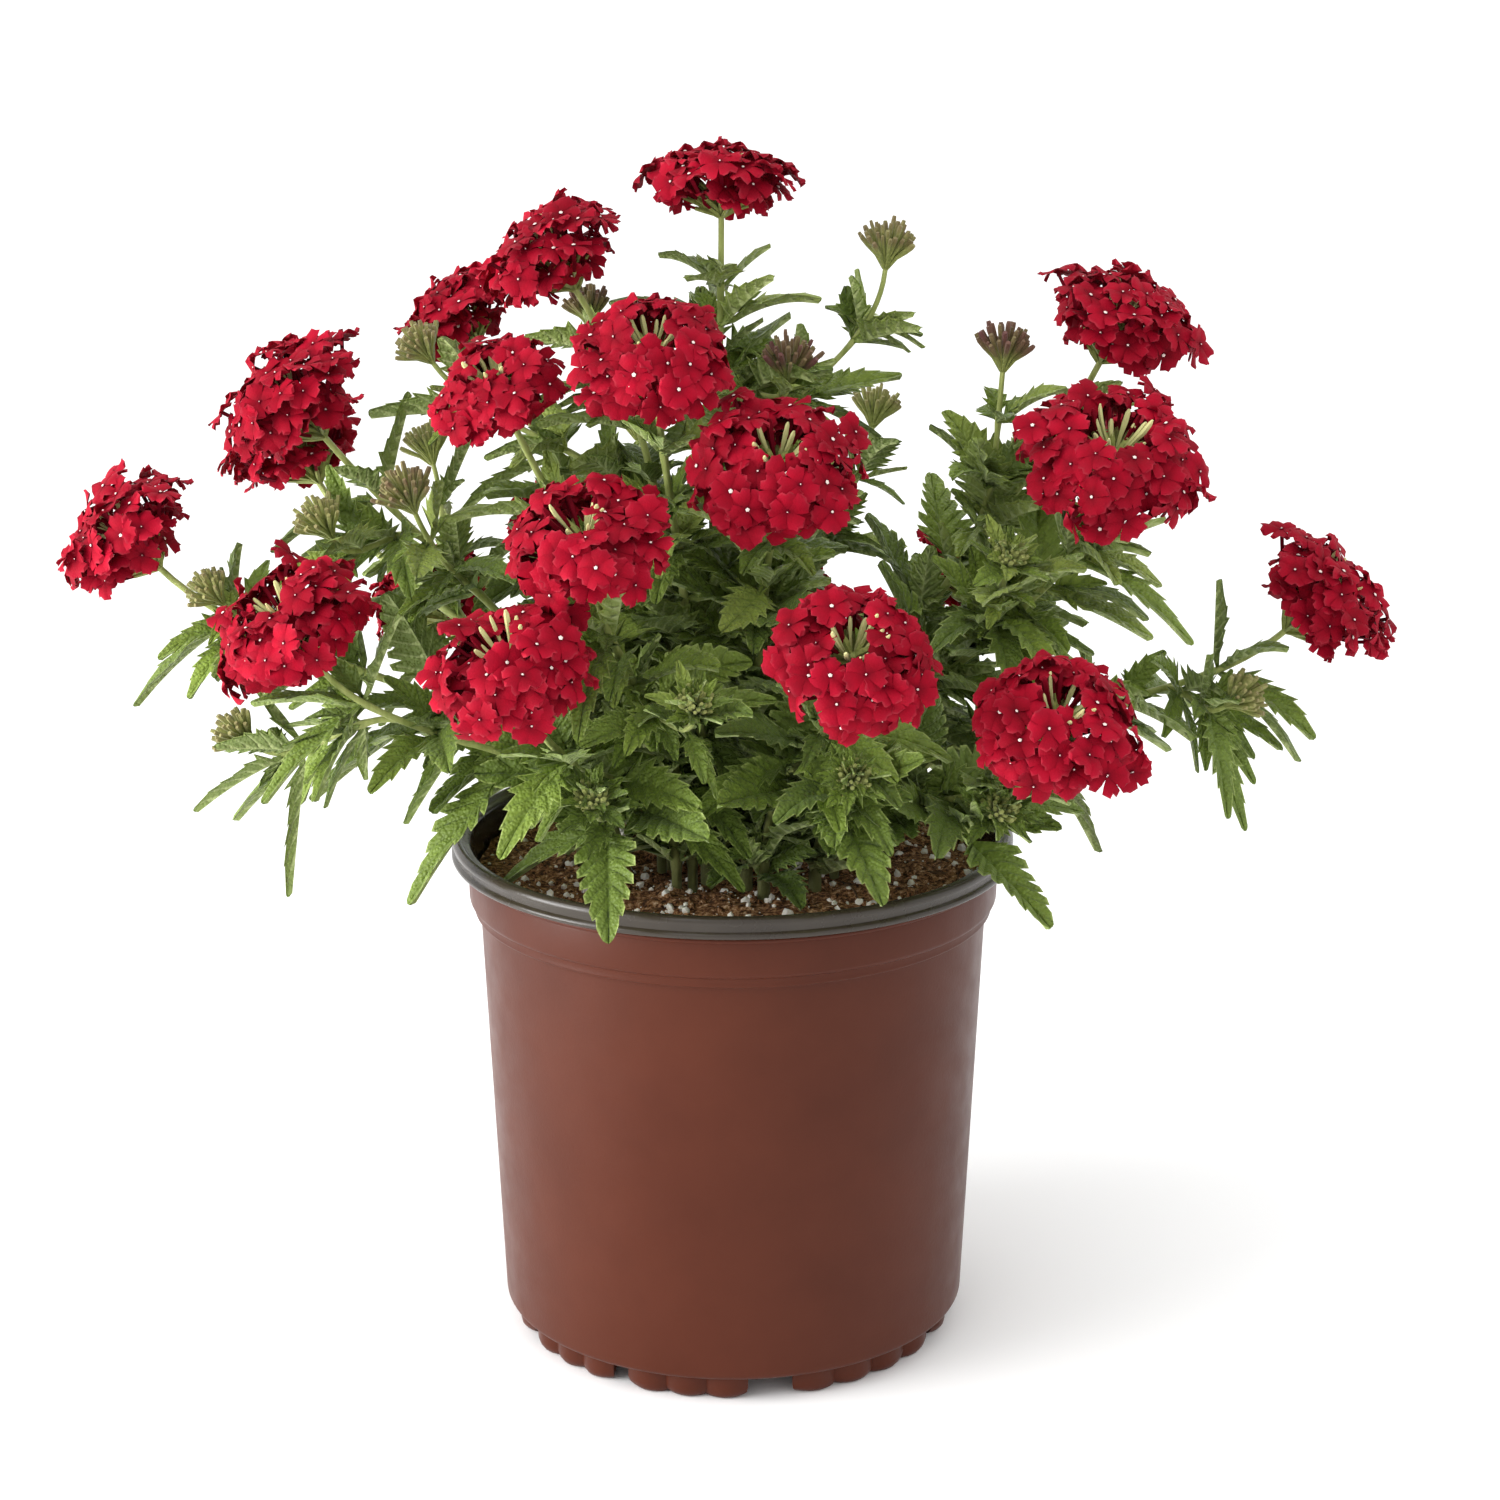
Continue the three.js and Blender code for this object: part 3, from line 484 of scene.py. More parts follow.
class Form:
    """Closed forms of one piece, with named values at their points and a finish a face."""

    def __init__(self):
        self.points = []
        self.faces = []
        self.finishes = []
        self.values = {}
        self.count = 0

    def add(self, points, faces, finish=0, **values):
        """Adds a batch of forms that share their faces, with a finish for all or for each part."""
        batch, size = points.shape[:2]
        starts = self.count + size * np.arange(batch)[:, None, None]
        for part, own in zip(faces, np.broadcast_to(finish, len(faces))):
            self.faces.append((part + starts).reshape(-1, part.shape[1]))
            self.finishes.append(np.full(batch * len(part), own))
        for name, value in values.items():
            kept = self.values.setdefault(name, [])
            kept.append((self.count, np.broadcast_to(value, (batch, size)).ravel()))
        self.points.append(points.reshape(-1, 3))
        self.count += batch * size

    def piece(self, name, slot, finishes, *nodes, crease=50):
        """Makes the Blender object, which rides on the root and replaces frame nodes."""
        mesh = bpy.data.meshes.new(name)
        mesh.vertices.add(self.count)
        mesh.vertices.foreach_set("co", np.concatenate(self.points).ravel() * MM)
        corners = np.concatenate([part.ravel() for part in self.faces])
        sizes = np.concatenate([np.full(len(part), part.shape[1]) for part in self.faces])
        mesh.loops.add(len(corners))
        mesh.loops.foreach_set("vertex_index", corners.astype(np.int32))
        mesh.polygons.add(len(sizes))
        mesh.polygons.foreach_set("loop_start", (np.cumsum(sizes) - sizes).astype(np.int32))
        mesh.polygons.foreach_set("material_index", np.concatenate(self.finishes).astype(np.int32))
        mesh.update(calc_edges=True)
        mesh.shade_smooth()
        mesh.set_sharp_from_angle(angle=math.radians(crease))
        for value_name, parts in self.values.items():
            whole = np.zeros(self.count, np.float32)
            for start, values in parts:
                whole[start : start + len(values)] = values
            mesh.attributes.new(value_name, "FLOAT", "POINT").data.foreach_set("value", whole)
        for finish in finishes:
            mesh.materials.append(finish)
        piece = in_scene(name, mesh)
        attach(piece, "root")
        if nodes:
            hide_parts(*nodes)


# ---- materials


class Finish:
    """A material of one Principled shader, with short calls for the nodes that drive it."""

    def __init__(self, name, **sockets):
        self.material = bpy.data.materials.new(name)
        self.material.use_nodes = True
        self.nodes = self.material.node_tree.nodes
        self.links = self.material.node_tree.links
        self.shader = self.nodes["Principled BSDF"]
        for socket, value in sockets.items():
            self.shader.inputs[socket.replace("_", " ")].default_value = value

    def node(self, kind, inputs=(), **settings):
        made = self.nodes.new(kind)
        for setting, value in settings.items():
            setattr(made, setting, value)
        for socket, value in dict(inputs).items():
            if isinstance(value, bpy.types.NodeSocket):
                self.links.new(value, made.inputs[socket])
            else:
                made.inputs[socket].default_value = value
        return made

    def value(self, name):
        return self.node("ShaderNodeAttribute", attribute_name=name).outputs["Fac"]

    def grain(self, size, detail=3.0, stretch=(1, 1, 1), rough=0.55):
        """Noise with features of about a size in millimetres."""
        place = self.node("ShaderNodeTexCoord").outputs["Object"]
        mapping = self.node("ShaderNodeMapping", {"Vector": place, "Scale": stretch})
        inputs = {
            "Vector": mapping.outputs["Vector"],
            "Scale": 1 / (size * MM),
            "Detail": detail,
            "Roughness": rough,
        }
        return self.node("ShaderNodeTexNoise", inputs).outputs["Fac"]

    def cells(self, size):
        """How far each point is from the middle of its cell, of a size in millimetres."""
        place = self.node("ShaderNodeTexCoord").outputs["Object"]
        inputs = {"Vector": place, "Scale": 1 / (size * MM)}
        return self.node("ShaderNodeTexVoronoi", inputs).outputs["Distance"]

    def ramp(self, factor, *stops):
        """Colours or greys at shares of a factor."""
        made = self.node("ShaderNodeValToRGB", {"Fac": factor})
        stops = [(at, colour if isinstance(colour, tuple) else (colour,) * 3) for at, colour in stops]
        elements = made.color_ramp.elements
        while len(elements) < len(stops):
            elements.new(0.5)
        for element, (at, colour) in zip(elements, stops):
            element.position = at
            element.color = (*colour, 1)
        return made.outputs["Color"]

    def mix(self, factor, first, second, blend="MIX"):
        colours = [(*c, 1) if isinstance(c, tuple) else c for c in (first, second)]
        inputs = zip((0, 6, 7), (factor, *colours))
        return self.node("ShaderNodeMix", inputs, data_type="RGBA", blend_type=blend).outputs[2]

    def times(self, first, second):
        return self.mix(1.0, first, second, "MULTIPLY")

    def maths(self, operation, *inputs):
        return self.node("ShaderNodeMath", enumerate(inputs), operation=operation).outputs[0]

    def drive(self, socket, output):
        self.links.new(output, self.shader.inputs[socket])

    def embossed(self, height, depth):
        """The whole material, with a relief of a depth in millimetres."""
        inputs = {"Height": height, "Distance": depth * MM, "Strength": 1.0}
        self.drive("Normal", self.node("ShaderNodeBump", inputs).outputs["Normal"])
        return self.material


def grained_finish(name, grain, stops, relief, **sockets):
    """A finish whose colour and relief follow one noise."""
    finish = Finish(name, **sockets)
    noise_value = finish.grain(**grain)
    finish.drive("Base Color", finish.ramp(noise_value, *stops))
    return finish.embossed(noise_value, relief)


def petal_finish():
    """Velvet crimson: painted shade in the throat, painted highlight at the rims, some florets
    darker.
    """
    finish = Finish(
        "petal",
        Roughness=0.65,
        Specular_IOR_Level=0.07,
        Sheen_Weight=0.045,
        Sheen_Roughness=0.4,
        Sheen_Tint=(1.0, 0.2, 0.25, 1),
    )
    # Along each petal: painted shade darkens the throat, and a painted highlight makes the rims
    # pinker
    crimson = finish.ramp(
        finish.value("reach"),
        (0.0, (0.13, 0.001, 0.01)),
        (0.15, (0.26, 0.001, 0.013)),
        (0.45, (0.38, 0.002, 0.018)),
        (0.85, (0.42, 0.006, 0.026)),
        (1.0, (0.45, 0.03, 0.05)),
    )
    patches = finish.ramp(finish.grain(6), (0.3, 0.7), (0.7, 1.0))
    fresh = finish.ramp(finish.value("tint"), (0.0, (0.68, 0.55, 0.62)), (1.0, (1.0, 1.0, 1.0)))
    finish.drive("Base Color", finish.times(finish.times(crimson, patches), fresh))
    return finish.embossed(finish.grain(0.6), 0.12)


def eye_finish():
    finish = Finish("eye", Roughness=0.7, Base_Color=(0.85, 0.72, 0.66, 1))
    return finish.embossed(finish.grain(0.3), 0.1)


def blade_finish():
    """A wrinkled blade: cells between sunken veins, painted with light and shade, and a paler
    underside with raised ribs.
    """
    sheen = {"Sheen_Weight": 0.1, "Sheen_Tint": (0.8, 0.95, 0.7, 1)}
    finish = Finish("blade", Roughness=0.5, Specular_IOR_Level=0.3, **sheen)
    # The tint carries each leaf's own tone and the painted shade of leaves near the soil
    green = finish.ramp(
        finish.value("tint"),
        (0.0, (0.085, 0.13, 0.018)),
        (0.5, (0.19, 0.27, 0.034)),
        (1.0, (0.315, 0.382, 0.075)),
    )
    patches = finish.ramp(finish.grain(5), (0.3, 0.82), (0.7, 1.15))
    cells = finish.cells(1.1)
    # Painted highlight in the middle of each cell and painted shade at its border, where the relief
    # bulges and dips
    raised = finish.ramp(cells, (0.1, 1.08), (0.6, 0.88))
    colour = finish.times(finish.times(green, patches), raised)
    vein = finish.value("vein")
    under = finish.value("under")
    # Painted shade in the sunken veins of the upper side
    above = finish.mix(finish.ramp(vein, (0.85, 0.0), (1.0, 0.42)), colour, (0.1, 0.15, 0.02))
    pale = finish.mix(0.45, colour, (0.34, 0.42, 0.15))
    below = finish.mix(finish.ramp(vein, (0.7, 0.0), (1.0, 0.8)), pale, (0.45, 0.52, 0.22))
    sides = finish.mix(finish.ramp(under, (0.4, 0.0), (0.6, 1.0)), above, below)
    # Painted highlight: a pale rim along the blade's edge
    edge = finish.ramp(finish.value("border"), (0.88, 0.0), (1.0, 0.6))
    finish.drive("Base Color", finish.mix(edge, sides, (0.45, 0.54, 0.17)))
    groove = finish.ramp(vein, (0.6, 1.0), (1.0, 0.0))
    bulge = finish.ramp(cells, (0.0, 1.0), (0.7, 0.0))
    return finish.embossed(finish.maths("ADD", bulge, finish.maths("MULTIPLY", groove, 0.8)), 0.35)


def stalk_finish():
    finish = Finish("stalk", Roughness=0.5, Specular_IOR_Level=0.3, Sheen_Weight=0.12)
    streaks = finish.grain(2.5, stretch=(1, 1, 0.12))
    green = finish.ramp(streaks, (0.3, (0.22, 0.27, 0.06)), (0.7, (0.42, 0.46, 0.15)))
    # Painted shade: stalks darken towards their foot by the soil
    low = finish.ramp(finish.value("low"), (0.0, 0.0), (1.0, 0.85))
    finish.drive("Base Color", finish.mix(low, green, (0.06, 0.055, 0.022)))
    return finish.embossed(finish.grain(0.5), 0.15)


def bud_finish():
    """Calyces and closed buds: green, and towards their tips brown purple or cream."""
    finish = Finish("bud", Roughness=0.6, Specular_IOR_Level=0.25, Sheen_Weight=0.12)
    speckle = finish.grain(1.2)
    green = finish.ramp(speckle, (0.3, (0.17, 0.2, 0.045)), (0.7, (0.33, 0.36, 0.1)))
    dusky = finish.mix(finish.value("purple"), green, (0.12, 0.042, 0.038))
    finish.drive("Base Color", finish.mix(finish.value("cream"), dusky, (0.62, 0.6, 0.27)))
    return finish.embossed(speckle, 0.2)


def plastic_finish(name, low, high, roughness, specular):
    finish = Finish(name, Specular_IOR_Level=specular)
    clouds = finish.grain(28, detail=4)
    finish.drive("Base Color", finish.ramp(clouds, (0.3, low), (0.7, high)))
    wear = finish.grain(9, detail=5)
    finish.drive("Roughness", finish.ramp(wear, (0.3, roughness - 0.05), (0.7, roughness + 0.06)))
    return finish.embossed(finish.grain(0.9, detail=2), 0.03)


PETAL = petal_finish()
EYE = eye_finish()
BLADE = blade_finish()
STALK = stalk_finish()
BUD = bud_finish()
BROWN = plastic_finish("brown_plastic", (0.066, 0.0135, 0.005), (0.078, 0.017, 0.0068), 0.38, 0.17)
BLACK = plastic_finish("black_plastic", (0.025, 0.018, 0.012), (0.037, 0.029, 0.02), 0.25, 0.42)
# Peat crumbs' own browns; as colour and relief follow one noise, hollows also get painted shade and
# tops painted highlights
PEAT = grained_finish(
    "peat",
    {"size": 1.6, "detail": 6, "rough": 0.75},
    [
        (0.4, (0.04, 0.018, 0.009)),
        (0.48, (0.22, 0.095, 0.042)),
        (0.56, (0.54, 0.28, 0.13)),
        (0.64, (0.92, 0.7, 0.48)),
    ],
    1.2,
    Roughness=0.9,
    Specular_IOR_Level=0.2,
)
WHITE_STOPS = [(0.3, (0.9, 0.82, 0.68)), (0.55, (1.0, 0.98, 0.93))]
WHITE_GRAIN = grained_finish("perlite", {"size": 0.8, "detail": 4}, WHITE_STOPS, 0.4, Roughness=0.85)
FIBRE_STOPS = [(0.3, (0.05, 0.022, 0.01)), (0.7, (0.22, 0.12, 0.05))]
FIBRE = grained_finish("fibre", {"size": 2.0}, FIBRE_STOPS, 0.3, Roughness=0.8)

# ---- pot and soil


def inner_radius(z):
    slope = (BODY_TOP_RADIUS - BODY_FOOT_RADIUS) / (STEP_HEIGHT - BODY_FOOT)
    return BODY_FOOT_RADIUS + slope * (z - BODY_FOOT) - WALL


def arc(radius, height, size, start, stop, steps=6):
    """Points of a round stretch of a profile, as [radius, height]."""
    angle = np.radians(np.linspace(start, stop, steps))
    return np.stack([radius + size * np.cos(angle), height + size * np.sin(angle)], -1)


def lathe(profile, steps):
    """Points and faces of a turned form whose profile starts and ends on the axis."""
    ring = polar(360 * np.arange(steps) / steps, 1.0)
    radius, height = profile[1:-1, 0], profile[1:-1, 1]
    grid = ring[None] * radius[:, None, None]
    grid[..., 2] = height[:, None]
    ends = np.array([[0, 0, profile[0, 1]], [0, 0, profile[-1, 1]]])
    points = np.concatenate([grid.reshape(-1, 3), ends])
    return points, bar_faces(len(radius), steps)


def pot_profiles():
    """The brown outside, up to the lip, and then the black lip and inside, back to the axis."""
    step = BODY_TOP_RADIUS + 1.2
    outside = np.concatenate([
        [[0, UNDERSIDE], [BODY_FOOT_RADIUS * 0.5, UNDERSIDE], [FOOT_INNER - 2, UNDERSIDE]],
        arc(BODY_FOOT_RADIUS - 1.8, UNDERSIDE + 1.8, 1.8, -90, 0),
        [[BODY_FOOT_RADIUS + 0.05, BODY_FOOT + 1], [BODY_TOP_RADIUS - 0.05, STEP_HEIGHT - 1.5]],
        arc(BODY_TOP_RADIUS + 0.7, STEP_HEIGHT - 0.6, 0.7, 180, 110, 4),
        arc(step - 0.1, STEP_HEIGHT + 0.9, 0.7, -80, 30, 5),
        arc(COLLAR_RADIUS - 1.9, COLLAR_FOOT + 1.2, 1.7, -70, 0, 5),
        [[COLLAR_RADIUS - 0.1, COLLAR_FOOT + 5], [COLLAR_RADIUS, LIP_UNDER - 3.4]],
        arc(COLLAR_RADIUS - 0.1, LIP_UNDER - 1.7, BEAD, -90, 90, 7),
        [[COLLAR_RADIUS, LIP_UNDER]],
    ])
    inside = np.concatenate([
        [[LIP_RADIUS - 1.2, LIP_UNDER]],
        arc(LIP_RADIUS - 1.0, LIP_UNDER + 1.0, 1.0, -80, 60, 7),
        [[LIP_RADIUS - LIP_GROOVE - 0.2, LIP_UNDER + 2.2]],
        arc(LIP_RADIUS - LIP_ROLL - 0.3, LIP_TOP - LIP_ROLL, LIP_ROLL, -40, 110, 10),
        [[COLLAR_RADIUS + 1.6, LIP_TOP - 0.6]],
        arc(COLLAR_RADIUS + 0.6, LIP_TOP - 2.6, 1.5, 80, 170, 5),
        [[COLLAR_RADIUS - WALL + 0.2, LIP_UNDER - 2]],
        [[COLLAR_RADIUS - WALL - 0.4, COLLAR_FOOT + 0.5]],
        [[inner_radius(STEP_HEIGHT - 1), STEP_HEIGHT - 1]],
        [[inner_radius(FLOOR_TOP), FLOOR_TOP], [0, FLOOR_TOP]],
    ])
    return outside, inside


def foot_group(start, end, lobes):
    """One group of rounded lugs: rings of its outline from its foot up into the body."""
    share = np.linspace(0, 1, lobes * LOBE_STEPS + 1)
    dip = 1 - np.abs(np.sin(math.pi * lobes * share)) ** 0.8
    levels = []
    for height, inset in FOOT_ROUNDING:
        taper = np.degrees(inset / FOOT_RADIUS)
        radius = FOOT_RADIUS - inset - (FOOT_SCALLOP + 0.4 * inset) * dip
        outer = polar(between((start + taper, end - taper), share), radius, height)
        taper += FOOT_TAPER
        back = between((end - taper, start + taper), share)
        levels += [outer, polar(back, FOOT_INNER + 0.5 * inset, height)]
    count = len(share)
    rings = np.arange(len(FOOT_ROUNDING) * 2 * count).reshape(-1, 2 * count)
    sides = quads(rings, closed=True)
    under, over = (quads(np.stack([ring[:count], ring[:count - 1 : -1]])) for ring in rings[[0, -1]])
    return np.concatenate(levels), [np.concatenate([sides, under[:, ::-1], over])]


def make_pot():
    form = Form()
    outside, inside = pot_profiles()
    points, faces = lathe(np.concatenate([outside, inside]), POT_STEPS)
    wall, ends = faces
    brown = (len(outside) - 1) * POT_STEPS
    parts = [wall[:brown], ends[:POT_STEPS], wall[brown:], ends[POT_STEPS:]]
    form.add(points[None], parts, (0, 0, 1, 1))
    for turn, (start, end, lobes) in product((0, 180), FOOT_GROUPS):
        points, faces = foot_group(start + turn, end + turn, lobes)
        form.add(points[None], faces)
    form.piece("pot_shell", "pot_plastic", [BROWN, BLACK], "pot", crease=40)


def ground(x, y):
    """The height of the soil: broad lumps with crumbs on them."""
    broad = 0.5 * np.sin(0.11 * x + 0.9) * np.cos(0.13 * y)
    broad += 0.3 * np.sin(0.29 * y + 0.07 * x) + 0.2 * np.cos(0.37 * x - 0.21 * y)
    spots = np.stack(np.broadcast_arrays(x, y), -1).reshape(-1, 2)
    fine = [noise.fractal(Vector((0.16 * a, 0.16 * b, 3.7)), 0.8, 2.1, 5) for a, b in spots]
    return SOIL_TOP + SOIL_LUMP * broad + SOIL_ROUGH * np.reshape(fine, np.shape(broad))


def make_soil():
    rim = COLLAR_RADIUS - WALL - 0.4 - SOIL_GAP
    waist = inner_radius(STEP_HEIGHT - 1) - SOIL_GAP
    bottom = FLOOR_TOP + SOIL_GAP
    top_rings = rim * np.linspace(1, 0, SOIL_RINGS, endpoint=False)
    profile = np.concatenate([
        [[0, bottom], [inner_radius(bottom) - SOIL_GAP, bottom]],
        [[waist, STEP_HEIGHT - 1], [rim, COLLAR_FOOT + 1]],
        np.stack([top_rings, np.full(SOIL_RINGS, SOIL_TOP)], -1),
        [[0, SOIL_TOP]],
    ])
    points, faces = lathe(profile, SOIL_STEPS)
    top = points[:, 2] > SOIL_TOP - 1
    points[top, 2] = ground(points[top, 0], points[top, 1])
    form = Form()
    form.add(points[None], faces)
    form.add(*scattered_grains(CRUMBS, CRUMB_SIZE, rim - 1, CRUMB_LIFT))
    form.piece("soil_bed", "soil", [PEAT], "soil", crease=80)

    grains = Form()
    grains.add(*scattered_grains(PERLITE, PERLITE_SIZE, rim - 2, PERLITE_LIFT))
    grains.piece("perlite", "soil", [WHITE_GRAIN])
    make_fibres(rim - 3)


def icosahedron():
    long = (1 + math.sqrt(5)) / 2
    points = [(s, t * long, 0) for s in (-1, 1) for t in (-1, 1)]
    points = np.array(points + [(0, a, b) for a, b, _ in points] + [(b, 0, a) for a, b, _ in points])
    faces = []
    for corners in combinations(range(12), 3):
        a, b, c = points[list(corners)]
        if np.allclose(np.linalg.norm([a - b, b - c, c - a], axis=1), 2):
            faces.append(corners if np.cross(b - a, c - a).dot(a) > 0 else corners[::-1])
    return unit(points), np.array(faces)


def turned(batch):
    """Random rotations, as a batch of matrices."""
    first = unit(rng.normal(size=(batch, 3)))
    second = rng.normal(size=(batch, 3))
    second = unit(second - first * (first * second).sum(-1, keepdims=True))
    return np.stack([first, second, np.cross(first, second)], axis=1)


def scattered_grains(count, sizes, reach, lift):
    """Rough grains that lie on the soil, small ones more often than large ones."""
    shape, faces = icosahedron()
    place = polar(draw((0, 360), count), reach * np.sqrt(draw((0, 1), count)))
    size = between(sizes, draw((0, 1), count) ** MOSTLY_SMALL)
    place[:, 2] = ground(place[:, 0], place[:, 1]) + size * lift
    grains = shape * draw((0.7, 1.15), count, 12, 1) * draw((0.6, 1.1), count, 1, 3)
    grains = np.einsum("nij,nkj->nki", turned(count), grains) * size[:, None, None]
    return place[:, None] + grains, [faces]


def make_fibres(reach):
    """Thin fibres of peat and bark that lie on the soil."""
    place = polar(draw((0, 360), FIBRES), reach * np.sqrt(draw((0, 1), FIBRES)))
    heading = draw((0, 360), FIBRES)
    length = draw(FIBRE_LENGTH, FIBRES)
    share = np.linspace(-0.5, 0.5, 6)
    bend = draw(FIBRE_BEND, FIBRES)
    turn = heading[:, None] + bend[:, None] * share
    steps = polar(turn, length[:, None] * (share[1] - share[0]))
    paths = place[:, None] + np.cumsum(steps, axis=1) - steps.sum(axis=1, keepdims=True) / 2
    far = np.hypot(paths[..., 0], paths[..., 1]).max(axis=1) < reach + 2
    paths = paths[far]
    paths[..., 2] = ground(paths[..., 0], paths[..., 1]) + FIBRE_LIFT
    radii = draw(FIBRE_THICK, len(paths), 1) * np.array([0.4, 0.9, 1, 1, 0.8, 0.3])
    form = Form()
    form.add(round_bars(paths, radii, 5), bar_faces(6, 5))
    form.piece("fibres", "soil", [FIBRE])


# ---- courses of stems and shoots


def stance(item):
    """The centre and the axis of a flower head or of a shoot's tuft."""
    return np.array(item.at, float), facing(*item.faces)


def course_along(item, curve, shares, before=(), ends=(), **more):
    """A course along a curve, with the sections that carry the frame's leaf pairs."""
    centre, axis = stance(item)
    points = [*before, *bezier(curve, shares), *ends]
    course = SimpleNamespace(
        centre=centre,
        axis=axis,
        curve=curve,
        before=before,
        leaves=item.leaves,
        node_shares=[shares[pair.point - len(before)] for pair in item.leaves],
        points=points,
        rings=[],
        **more,
    )
    last = len(points) - 1
    for order, pair in enumerate(item.leaves):
        i = pair.point
        along = axis if i == last else unit(points[i + 1] - points[max(i - 1, 0)])
        course.rings.append(section(course, points[i], along, i / last, order))
    return course


def stem_course(name, index):
    """A stem rises out of the soil and meets its flower head along the head's axis."""
    flower = HEADS[name]
    centre, axis = stance(flower)
    turn = math.degrees(math.atan2(centre[1], centre[0]))
    root = polar(turn, ROOT_INNER + ROOT_SPREAD * math.hypot(centre[0], centre[1]))
    foot = root + UP * (SOIL_TOP + STEM_STRAIGHT)
    ends = [centre + share * flower.deep * axis for share in (CENTRE_FOOT, CENTRE_HEIGHT)]
    return course_along(
        flower,
        bow(foot, UP, centre - 0.5 * NECK_DROP * flower.deep * axis, axis),
        STEM_SHARES,
        [root + UP * (SOIL_TOP - STEM_SUNK)],
        ends,
        name=name,
        index=index,
        outward=polar(turn, 1.0),
        widths=(STEM_WIDE, STEM_NARROW),
        pairs=BETWEEN.get(name, PAIRS) + [FOOT_PAIR] * (root[1] < FRONT_ROOT),
        after=ends[:1],
    )


def shoot_course(side_shoot, index, stems):
    """A shoot bends from its stem's direction to the way that its bud tuft faces."""
    stem = stems[side_shoot.on]
    start, end = stem.points[side_shoot.start : side_shoot.start + 2]
    foot = start + (end - start) * SHOOT_SHARE
    centre, axis = stance(side_shoot)
    smooth = bezier(stem.curve, np.linspace(0, 1, 200))
    return course_along(
        side_shoot,
        bow(foot, unit(end - start), centre - 0.5 * TUFT_NECK * side_shoot.wide * axis, axis),
        np.linspace(0, 1, len(side_shoot.leaves) + 2),
        name=side_shoot.on,
        index=100 + index,
        outward=unit((centre - foot) * np.array([1, 1, 0])),
        widths=(SHOOT_WIDE, SHOOT_NARROW),
        pairs=DENSE_SHOOT_PAIRS if side_shoot.on in DENSE_STEMS else SHOOT_PAIRS,
        after=[centre + axis * (STALK_IN_TUFT - 0.5 * TUFT_NECK * side_shoot.wide)],
        foot=smooth[np.linalg.norm(smooth - foot, axis=1).argmin()],
        tuft=side_shoot.wide / 2,
        dusk=side_shoot.dusk,
    )


def section(course, point, along, share, order):
    """A section of a course that carries a leaf pair, each pair square to the one before."""
    side = np.cross(UP, course.outward)
    side = unit(side - along * side.dot(along))
    over = np.cross(along, side)
    return SimpleNamespace(
        point=point,
        along=along,
        side=side,
        over=over,
        out=over if order % 2 else side,
        half=between(course.widths, share) / 2,
        order=order,
    )


def rings_between(course):
    """Sections for the leaf pairs between the frame's own, with the lengths of their leaves."""
    found = []
    for order, (share, lengths) in enumerate(course.pairs):
        before, point, after = bezier(course.curve, [share - 0.02, share, share + 0.02])
        found.append((section(course, point, unit(after - before), share, order), lengths))
    return found


def make_stalk(form, course):
    """A square stalk with worn corners along the course's smooth curve."""
    shares = np.linspace(0, 1, STALK_STEPS)
    path = bezier(course.curve, shares)
    near = shares[:, None] - np.array(course.node_shares + [share for share, _ in course.pairs])
    length = np.linalg.norm(np.diff(path, axis=0), axis=1).sum()
    swell = 1 + NODE_SWELL * np.exp(-((near * length / NODE_REACH) ** 2)).sum(axis=1)
    half = between(course.widths, shares) / 2 * swell * STALK_SHARE
    if not course.before:
        half[0] *= SHOOT_FOOT
        path += (course.foot - path[0]) * (1 - shares[:, None]) ** SHOOT_BEND
    path = np.array([*course.before, *path, *course.after])
    half = np.pad(half, (len(course.before), len(course.after)), "edge")
    along = unit(np.gradient(path, axis=0))
    side = np.cross(UP, course.outward)
    side = unit(side - along * (along @ side)[:, None])
    over = np.cross(along, side)
    worn = 1 - CORNER
    corners = [(1, worn), (worn, 1), (-worn, 1), (-1, worn)]
    corners += [(-a, -b) for a, b in corners]
    a, b = (np.array(values)[None, :, None] for values in zip(*corners))
    ring = path[:, None] + half[:, None, None] * (side[:, None] * a + over[:, None] * b)
    points = bar_points(path[None], ring[None])
    # How near each point is to the soil, for the painted shade at the stalk's foot
    low = np.clip(1 - (points[..., 2] - SOIL_TOP) / SHADED_FOOT_HEIGHT, 0, 1)
    form.add(points, bar_faces(len(path), len(corners)), low=low)


# ---- leaves


def heading_out(ring, out, turn, pitch):
    """A direction that is turned round a section from one way out, and pitched off its stem."""
    turn, pitch = math.radians(turn), math.radians(pitch)
    level = out * math.cos(turn) + np.cross(ring.along, out) * math.sin(turn)
    return level * math.sin(pitch) + ring.along * math.cos(pitch)


def leaf_pose(course, ring, side, attempt):
    """How a leaf of the frame stands on its section at one of the attempts to place it."""

    def drawn(n):
        return chance(course.index, ring.order, side, attempt, n)

    pair = course.leaves[ring.order]
    out = ring.out * (1 - 2 * side)
    loose = LEAF_LOOSE + LEAF_STRAY * attempt
    turn = min(loose, LEAF_SWING) * (drawn(1) - 0.5)
    pitch = LEAF_PITCH + min(loose, LEAF_NOD) * (drawn(2) - 0.5)
    heading = heading_out(ring, out, turn, pitch)
    heading[2] = max(heading[2], -pair.sink)
    heading = unit(heading)
    normal = ring.along * LEAF_ALONG + UP * between(LEAF_UPRIGHT, drawn(3))
    shrink = 1 - LEAF_SHRINK * attempt
    return SimpleNamespace(
        root=ring.point + ring.along * LEAF_THICK / 2 + out * ring.half,
        heading=heading,
        across=unit(np.cross(normal, heading)),
        length=pair.length * shrink * between(LEAF_LENGTH, drawn(4)),
        half=pair.half * shrink,
        droop=between(pair.droop, drawn(5)),
    )


